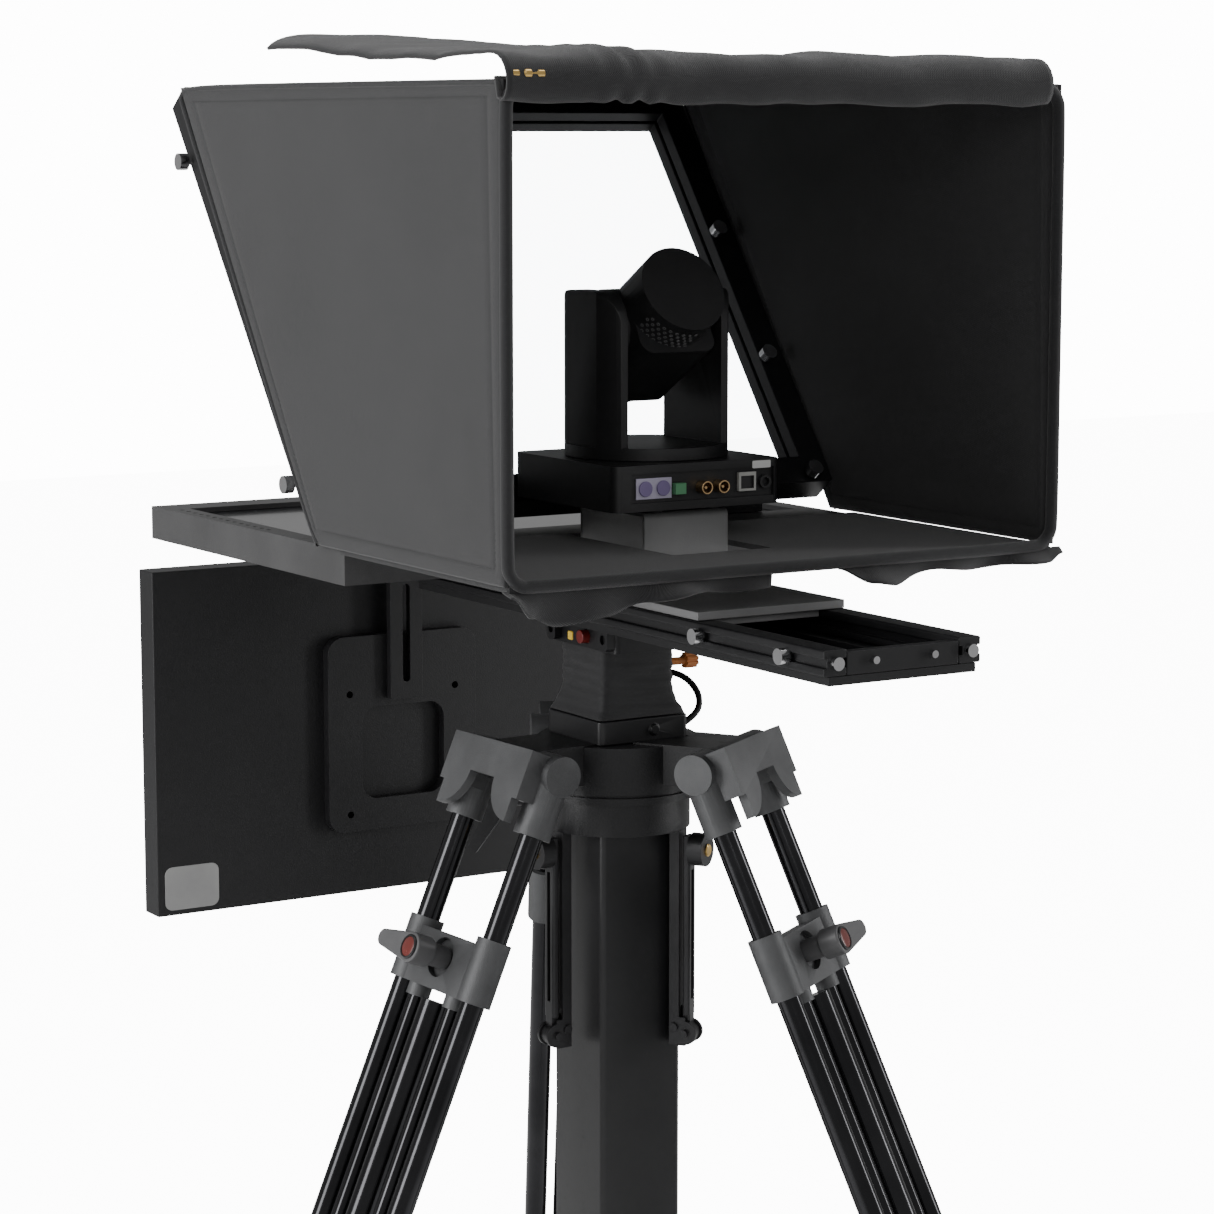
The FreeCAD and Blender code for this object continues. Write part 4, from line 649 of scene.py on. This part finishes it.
skirt("left_skirt", [(-0.229, 0.003), (-0.205, 0.020), (-0.185, 0.027), (-0.150, 0.022),
                     (-0.120, 0.014), (-0.085, 0.010), (-0.045, 0.013), (-0.015, 0.012)], 1.3)
skirt("right_skirt", [(0.040, 0.003), (0.062, 0.013), (0.085, 0.016), (0.125, 0.009),
                      (0.160, 0.012), (0.195, 0.009), (0.222, 0.009), (0.238, 0.004)], 4.1)

# ---------------------------------------------------------------- soft rear cover
# The flap that closes the hood's mouth in transit.  It is one sheet of the same canvas, thrown
# back over the roof: it hangs over the hoop in a soft roll and its free edge lifts at the front.

cover_low, cover_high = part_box("hood_cover")
COVER_PROFILE = [(0.004, -0.010), (-0.003, -0.019), (-0.011, -0.016), (-0.0155, -0.002),
                 (-0.011, 0.011), (0.004, 0.0175), (0.035, 0.019), (0.090, 0.020), (0.160, 0.022),
                 (0.230, 0.026), (0.300, 0.031), (0.334, 0.033)]
COVER_COLUMNS = 110


def cover_sheet():
    profile = []
    for (y0, z0), (y1, z1) in zip(COVER_PROFILE, COVER_PROFILE[1:]):
        count = max(2, round(math.hypot(y1 - y0, z1 - z0) / 0.006))
        profile += [(y0 + (y1 - y0) * i / count, z0 + (z1 - z0) * i / count) for i in range(count)]
    profile.append(COVER_PROFILE[-1])
    for _ in range(6):
        profile = ([profile[0]]
                   + [tuple((p[k] + 2 * q[k] + r[k]) / 4 for k in (0, 1))
                      for p, q, r in zip(profile, profile[1:], profile[2:])]
                   + [profile[-1]])
    left, right = cover_low.x + 0.001, cover_high.x - 0.014
    work = bmesh.new()
    grid = []
    for i in range(COVER_COLUMNS + 1):
        across = i / COVER_COLUMNS
        x = left + (right - left) * across
        side = min(x - left, right - x)
        column = []
        for dy, dz in profile:
            front = max(0.0, dy) / COVER_PROFILE[-1][0]
            spot = Vector((x, rear_y + dy, roof_z + dz))
            crease = noise.noise(Vector((x * 26, dy * 9, 1.7))) * 0.0026
            crease += abs(noise.noise(Vector((x * 11 + dy * 14, dy * 20, 5.2)))) * 0.0030
            pucker = 0.005 * math.exp(-((x + 0.135) / 0.022) ** 2) * (0.5 + math.sin(x * 330) / 2)
            pucker *= math.exp(-((dy - 0.02) / 0.05) ** 2)
            sag = -0.012 * across * front + 0.004 * math.sin(across * 7) * front
            hem = -0.006 * math.exp(-side / 0.006) * min(1.0, front * 4)
            spot.z = max(spot.z + crease + pucker + sag + hem, roof_z + 0.002 if dy > 0.002 else 0)
            spot.y += noise.noise(Vector((x * 17, 3.3, dz * 30))) * 0.002
            column.append(work.verts.new(spot))
        grid.append(column)
    for i in range(COVER_COLUMNS):
        for j in range(len(profile) - 1):
            work.faces.new((grid[i][j], grid[i + 1][j], grid[i + 1][j + 1], grid[i][j + 1]))
    mesh = bpy.data.meshes.new("rear_cover")
    run = sum(math.dist(p, q) for p, q in zip(profile, profile[1:]))
    work.to_mesh(mesh)
    work.free()
    mesh.shade_smooth()
    made = bpy.data.objects.new("rear_cover", mesh)
    bpy.context.scene.collection.objects.link(made)
    thick = made.modifiers.new("cloth", "SOLIDIFY")
    thick.thickness = 0.0022
    thick.offset = 0
    return made, (right - left, run)


cover, cover_flat = cover_sheet()
dress(canvas("cover_canvas", (0.010, 0.010, 0.011), (0.016, 0.016, 0.017)), cover)
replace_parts(cover, "hood_cover")
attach(cover, "prompter")

# ---------------------------------------------------------------- sleeve of the lifting stage
# A tube of thin coated cloth round the moving stage.  It is tied under the quick-release block,
# hangs straight with a few soft creases, and spreads where it is clamped round the flange.

sleeve_low, sleeve_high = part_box("column_bellows")
stage_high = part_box("lift_stage")[1]
SLEEVE_LEVELS = 34
SLEEVE_CORNER_R = 0.005


def square_ring(half, radius, per_side=10, per_corner=5):
    """Points round a square with rounded corners."""
    ring = []
    for quarter in range(4):
        turn = math.radians(90 * quarter)
        flat = half - radius
        local = [(half, -flat + 2 * flat * i / per_side) for i in range(per_side)]
        for i in range(per_corner):
            angle = math.radians(90 * i / per_corner)
            local.append((flat + radius * math.cos(angle), flat + radius * math.sin(angle)))
        for x, y in local:
            ring.append((x * math.cos(turn) - y * math.sin(turn),
                         x * math.sin(turn) + y * math.cos(turn)))
    return ring


def loft(name, rings):
    """A smooth skin over rings of points, each ring a list of the same length."""
    work = bmesh.new()
    rows = [[work.verts.new(p) for p in ring] for ring in rings]
    count = len(rows[0])
    for low, high in zip(rows, rows[1:]):
        for i in range(count):
            work.faces.new((low[i], low[(i + 1) % count], high[(i + 1) % count], high[i]))
    mesh = bpy.data.meshes.new(name)
    work.to_mesh(mesh)
    work.free()
    mesh.shade_smooth()
    made = bpy.data.objects.new(name, mesh)
    bpy.context.scene.collection.objects.link(made)
    return made


def sleeve_rings():
    rings = []
    top_half = stage_high.x + 0.0012
    foot_half = sleeve_high.x
    high = stage_high.z - 0.0008
    for level in range(SLEEVE_LEVELS + 1):
        share = level / SLEEVE_LEVELS
        z = sleeve_low.z + 0.0006 + (high - sleeve_low.z) * share
        spread = max(0.0, 1 - share / 0.42) ** 1.6
        half = top_half + (foot_half - top_half) * spread
        ring = []
        for x, y in square_ring(half, SLEEVE_CORNER_R):
            crease = noise.noise(Vector((x * 24, y * 24, z * 170))) * 0.0011
            crease += math.sin(z * 820 + x * 60) * 0.0003
            out = Vector((x, y, 0)).normalized() * crease
            ring.append((x + out.x, y + out.y, z))
        rings.append(ring)
    return rings


sleeve = loft("stage_sleeve", sleeve_rings())
sleeve_cloth = canvas("sleeve_cloth", (0.007, 0.007, 0.008), (0.014, 0.014, 0.015), threads=700.0,
                      rough=0.6, relief=0.15)
dress(sleeve_cloth, sleeve)
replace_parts(sleeve, "column_bellows")
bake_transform(sleeve)

# ---------------------------------------------------------------- glass and screens
# The beam splitter is a thin coated pane that passes most of the light and mirrors a little.
# The two screens are matt panels behind a thin hard layer, and the lens is one domed element.


def pane(name, mirror):
    """Clear sheet: straight through, with a share of sharp reflection and faint dust."""
    made = bpy.data.materials.new(name)
    made.use_nodes = True
    tree = made.node_tree
    tree.nodes.remove(tree.nodes["Principled BSDF"])
    through = add(tree, "ShaderNodeBsdfTransparent", Color=(0.93, 0.94, 0.95, 1))
    shine = add(tree, "ShaderNodeBsdfGlossy", Color=(0.9, 0.9, 0.92, 1), Roughness=0.02)
    dust = add(tree, "ShaderNodeGroup", node_tree=grain_group)
    dust.inputs["Mottle Scale"].default_value = 6.0
    share = add(tree, "ShaderNodeMapRange", [("Value", dust.outputs["Mottle"])])
    share.inputs["To Min"].default_value = mirror
    share.inputs["To Max"].default_value = mirror + 0.03
    mixed = add(tree, "ShaderNodeMixShader")
    tree.links.new(share.outputs["Result"], mixed.inputs[0])
    tree.links.new(through.outputs[0], mixed.inputs[1])
    tree.links.new(shine.outputs[0], mixed.inputs[2])
    tree.links.new(mixed.outputs[0], tree.nodes["Material Output"].inputs["Surface"])
    return made


dress(pane("beam_splitter_pane", 0.08), "beamsplitter_glass")
dress(surface("dark_screen", (0.010, 0.011, 0.013), (0.016, 0.017, 0.019), 0.22, bump=0.02,
              Coat_Weight=0.6, Coat_Roughness=0.08), "prompter_screen", "talent_screen")
dress(surface("lens_front", (0.004, 0.004, 0.010), (0.008, 0.007, 0.016), 0.05, bump=0.0,
              Coat_Weight=1.0, Coat_Roughness=0.02), "camera_lens")

# ---------------------------------------------------------------- camera sockets
# The rear recess holds moulded and turned sockets: a lavender plate with two round mini sockets,
# a green screw terminal, two brass coaxials, a pale network jack and a black power jack.

violet = surface("lavender_plate", (0.50, 0.46, 0.60), (0.60, 0.56, 0.70), 0.45, bump=0.05)
purple = surface("purple_socket", (0.20, 0.15, 0.34), (0.28, 0.22, 0.42), 0.4, bump=0.05)
green = surface("green_terminal", (0.10, 0.34, 0.16), (0.20, 0.48, 0.26), 0.45, bump=0.05)
brass = surface("brass_coaxial", (0.72, 0.46, 0.22), (0.85, 0.60, 0.34), 0.22,
                metallic=1.0, bump=0.02)
jack_grey = surface("pale_jack", (0.42, 0.42, 0.40), (0.55, 0.55, 0.52), 0.35, bump=0.05)
jack_black = surface("black_jack", (0.015, 0.015, 0.016), (0.03, 0.03, 0.031), 0.3, bump=0.05)

sockets = softened("camera_ports", 0.0003)
for paint in (violet, purple, green, brass, jack_grey, jack_black):
    sockets.data.materials.append(paint)
first_paint = len(sockets.data.materials) - 6
VIOLET, PURPLE, GREEN, BRASS, JACK_GREY, JACK_BLACK = range(6)
PLATE_FACE_Y = -0.1093
JACK_MOUTH_Y = -0.1108
JACK_X = 0.042
PLATE_END, TERMINAL_END, COAXIAL_END, JACK_END = -0.0215, -0.0115, 0.030, 0.0515
for face in sockets.data.polygons:
    x, y = face.center.x, face.center.y
    if x < PLATE_END:
        kind = PURPLE if y < PLATE_FACE_Y else VIOLET
    elif x < TERMINAL_END:
        kind = GREEN
    elif x < COAXIAL_END:
        kind = BRASS
    elif x < JACK_END:
        kind = JACK_BLACK if y > JACK_MOUTH_Y and abs(x - JACK_X) < 0.006 else JACK_GREY
    else:
        kind = JACK_BLACK
    face.material_index = first_paint + kind

# ---------------------------------------------------------------- badges, labels and small screws
# Pressed or turned trim: round badges with a dished face, thin blank label plates with rounded
# corners, the hood's brass clip and the screws' bright heads.


LEG_HEADINGS = (183.0, -57.0, 63.0)
LEG_ANGLE = 23.5            # degrees from the vertical
PIVOT_RADIUS = 0.089        # of the legs' pivots from the column's axis
PIVOT_Z = 0.752


def lathe(name, place, axis, profile, material, body, around=28):
    """A turned piece: (radius, height) pairs swept round an axis that leaves the given place."""
    points = []
    faces = []
    for radius, height in profile:
        for step in range(around):
            angle = 2 * math.pi * step / around
            points.append((radius * math.cos(angle), radius * math.sin(angle), height))
    for ring in range(len(profile) - 1):
        for step in range(around):
            after = (step + 1) % around
            low, high = ring * around, (ring + 1) * around
            faces.append((low + step, low + after, high + after, high + step))
    faces.append(tuple(reversed(range(around))))
    last = (len(profile) - 1) * around
    faces.append(tuple(range(last, last + around)))
    mesh = bpy.data.meshes.new(name)
    mesh.from_pydata(points, [], faces)
    mesh.shade_smooth()
    mesh.set_sharp_from_angle(angle=math.radians(30))
    made = bpy.data.objects.new(name, mesh)
    bpy.context.scene.collection.objects.link(made)
    made.rotation_euler = Vector(axis).to_track_quat("Z", "Y").to_euler()
    made.location = place
    dress(material, made)
    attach(made, body)
    return made


def on_leg(number, point):
    """World place of a point drawn on a vertical leg with its pivot at the origin."""
    heading = math.radians(LEG_HEADINGS[number - 1])
    lean = math.radians(LEG_ANGLE)
    x = point[0] * math.cos(lean) - point[2] * math.sin(lean)
    z = point[0] * math.sin(lean) + point[2] * math.cos(lean)
    x += PIVOT_RADIUS
    return Vector((x * math.cos(heading) - point[1] * math.sin(heading),
                   x * math.sin(heading) + point[1] * math.cos(heading), z + PIVOT_Z))


MIDDLE_TUBES_END = 0.5208    # down a leg to where its middle tubes enter the lower clamp
for number in (1, 2, 3):
    stage = bpy.data.objects["leg_%d_middle_stage_finished" % number]
    stage.data.materials.append(polished)
    pivot = on_leg(number, (0, 0, 0))
    down = on_leg(number, (0, 0, -1)) - pivot
    for face in stage.data.polygons:
        if (face.center - pivot).dot(down) < MIDDLE_TUBES_END:
            face.material_index = len(stage.data.materials) - 1

badge_red = surface("badge_red", (0.13, 0.022, 0.018), (0.18, 0.035, 0.028), 0.25, bump=0.03)
badge_ring = surface("badge_ring", (0.012, 0.012, 0.013), (0.02, 0.02, 0.021), 0.25, bump=0.03)
gold = surface("gold_trim", (0.70, 0.45, 0.14), (0.85, 0.60, 0.24), 0.28, metallic=1.0, bump=0.05)
BADGE_RING = ((0.0092, 0.0), (0.0092, 0.0010), (0.0086, 0.0015), (0.0076, 0.0015), (0.0074, 0.0008))
BADGE_FACE = ((0.0073, 0.0002), (0.0073, 0.0010), (0.0064, 0.0014), (0.0030, 0.0016),
              (0.0008, 0.0017))
KNOB_DOT = ((0.0048, 0.0), (0.0048, 0.0010), (0.0040, 0.0016), (0.0022, 0.0012), (0.0006, 0.0012))
LEVER_FACE = 0.0382         # of the grip's outer side from the leg's middle plane
LEVER_DOWN = -0.152         # of the grip's stem below the leg's pivot, along the leg
BADGE_RISE = 0.01
for number in (1, 2, 3):
    face = on_leg(number, (LEVER_FACE, 0.0, LEVER_DOWN))
    out = on_leg(number, (LEVER_FACE + BADGE_RISE, 0.0, LEVER_DOWN)) - face
    body = "leg_%d_lever" % number
    lathe("leg_%d_badge_ring" % number, face, out, BADGE_RING, badge_ring, body)
    lathe("leg_%d_badge" % number, face, out, BADGE_FACE, badge_red, body)

BRACE_FACE = 0.0745         # of a brace knob's outer side from the column's axis
BRACE_KNOB_Z = 0.68375
for number, heading in enumerate(LEG_HEADINGS, 1):
    turn = math.radians(heading)
    out = Vector((math.cos(turn), math.sin(turn), 0))
    place = out * BRACE_FACE + Vector((0, 0, BRACE_KNOB_Z))
    lathe("brace_%d_dot" % number, place, out, KNOB_DOT, gold, "brace_%d" % number)

CLIP = ((0.0016, 0.0), (0.0026, 0.0010), (0.0026, 0.0050), (0.0016, 0.0062), (0.0016, 0.0088),
        (0.0030, 0.0100), (0.0030, 0.0142), (0.0016, 0.0155), (0.0016, 0.0190), (0.0026, 0.0200),
        (0.0026, 0.0240), (0.0012, 0.0252))
lathe("hood_clip", (-0.2290, -0.2400, 1.2525), (1, 0, 0), CLIP, gold, "prompter")


def label_plate(name, centre, size, thick, material, body, across, up):
    """A thin blank plate with rounded corners and a broken edge, lying on a flat face."""
    across, up = Vector(across), Vector(up)
    out = across.cross(up)
    half_x, half_y = size[0] / 2, size[1] / 2
    radius = 0.18 * min(size)
    points = []
    for inset, height in ((0.0, 0.0), (0.0, 0.6 * thick), (0.4 * thick, thick)):
        for corner_x, corner_y, start in ((1, 1, 0), (-1, 1, 90), (-1, -1, 180), (1, -1, 270)):
            for step in range(6):
                angle = math.radians(start + 18 * step)
                x = corner_x * (half_x - radius) + (radius - inset) * math.cos(angle)
                y = corner_y * (half_y - radius) + (radius - inset) * math.sin(angle)
                points.append(Vector(centre) + across * x + up * y + out * height)
    count = len(points) // 3
    faces = [tuple(reversed(range(count))), tuple(range(2 * count, 3 * count))]
    for ring in (0, 1):
        for step in range(count):
            after = (step + 1) % count
            faces.append((ring * count + step, ring * count + after,
                          (ring + 1) * count + after, (ring + 1) * count + step))
    mesh = bpy.data.meshes.new(name)
    mesh.from_pydata(points, [], faces)
    made = bpy.data.objects.new(name, mesh)
    bpy.context.scene.collection.objects.link(made)
    dress(material, made)
    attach(made, body)


label_paper = surface("label_paper", (0.30, 0.30, 0.30), (0.40, 0.40, 0.39), 0.5, bump=0.05)
white_paper = surface("white_paper", (0.75, 0.75, 0.74), (0.85, 0.85, 0.84), 0.5, bump=0.05)
yellow = surface("yellow_lens", (0.85, 0.55, 0.04), (0.95, 0.68, 0.08), 0.3, bump=0.03)
label_plate("rating_label", (-0.192, 0.3510, 0.6035), (0.048, 0.036), 0.0004, label_paper,
            "talent_monitor", (1, 0, 0), (0, 0, 1))
label_plate("serial_label", (0.0540, -0.1112, 0.9770), (0.016, 0.0055), 0.0003, white_paper,
            "camera_carriage", (1, 0, 0), (0, 0, 1))
label_plate("release_lens", (-0.0412, -0.0010, 0.8448), (0.0065, 0.0065), 0.0010, yellow,
            nodes["quick_release_block"]["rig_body"], (0, -1, 0), (0, 0, 1))


BARREL_R = 0.0335
BARREL_REAR = Vector((0, -0.0897157, 1.1042722))
BARREL_AXIS = Vector((0, 0.8571673, -0.5150381))
BARREL_DOWN = Vector((0, -0.5150381, -0.8571673))
VENT_ROWS, VENT_COLUMNS = 6, 8
VENT_FIRST, VENT_PITCH = 0.009, 0.0042      # along the barrel from its rear face
VENT_STEP = 9.0             # degrees between holes in a row
VENT_RIM = ((0.0015, -0.0002), (0.0013, 0.0003), (0.0008, 0.0003), (0.0006, -0.0002))
VENT_SIDES = 8


def vent_grid():
    """Rimmed vent holes drawn as raised rings in rows round the underside of the camera's barrel.
    """
    points = []
    faces = []
    for row in range(VENT_ROWS):
        for column in range(VENT_COLUMNS):
            turn = math.radians(-8 + VENT_STEP * column + VENT_STEP / 2 * (row % 2))
            out = BARREL_DOWN * math.cos(turn) - Vector((1, 0, 0)) * math.sin(turn)
            round_way = out.cross(BARREL_AXIS)
            along = VENT_FIRST + VENT_PITCH * row
            centre = BARREL_REAR + BARREL_AXIS * along + out * BARREL_R
            first = len(points)
            for radius, height in VENT_RIM:
                for step in range(VENT_SIDES):
                    angle = 2 * math.pi * step / VENT_SIDES
                    points.append(centre + out * height + BARREL_AXIS * (radius * math.cos(angle))
                                  + round_way * (radius * math.sin(angle)))
            for ring in range(len(VENT_RIM)):
                low = first + ring * VENT_SIDES
                high = first + (ring + 1) % len(VENT_RIM) * VENT_SIDES
                for step in range(VENT_SIDES):
                    after = (step + 1) % VENT_SIDES
                    faces.append((low + step, low + after, high + after, high + step))
    mesh = bpy.data.meshes.new("barrel_vents")
    mesh.from_pydata(points, [], faces)
    made = bpy.data.objects.new("barrel_vents", mesh)
    bpy.context.scene.collection.objects.link(made)
    return made


vents = vent_grid()
dress(surface("vent_rim", (0.10, 0.10, 0.102), (0.15, 0.15, 0.152), 0.35, bump=0.05), vents)
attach(vents, "camera_barrel")
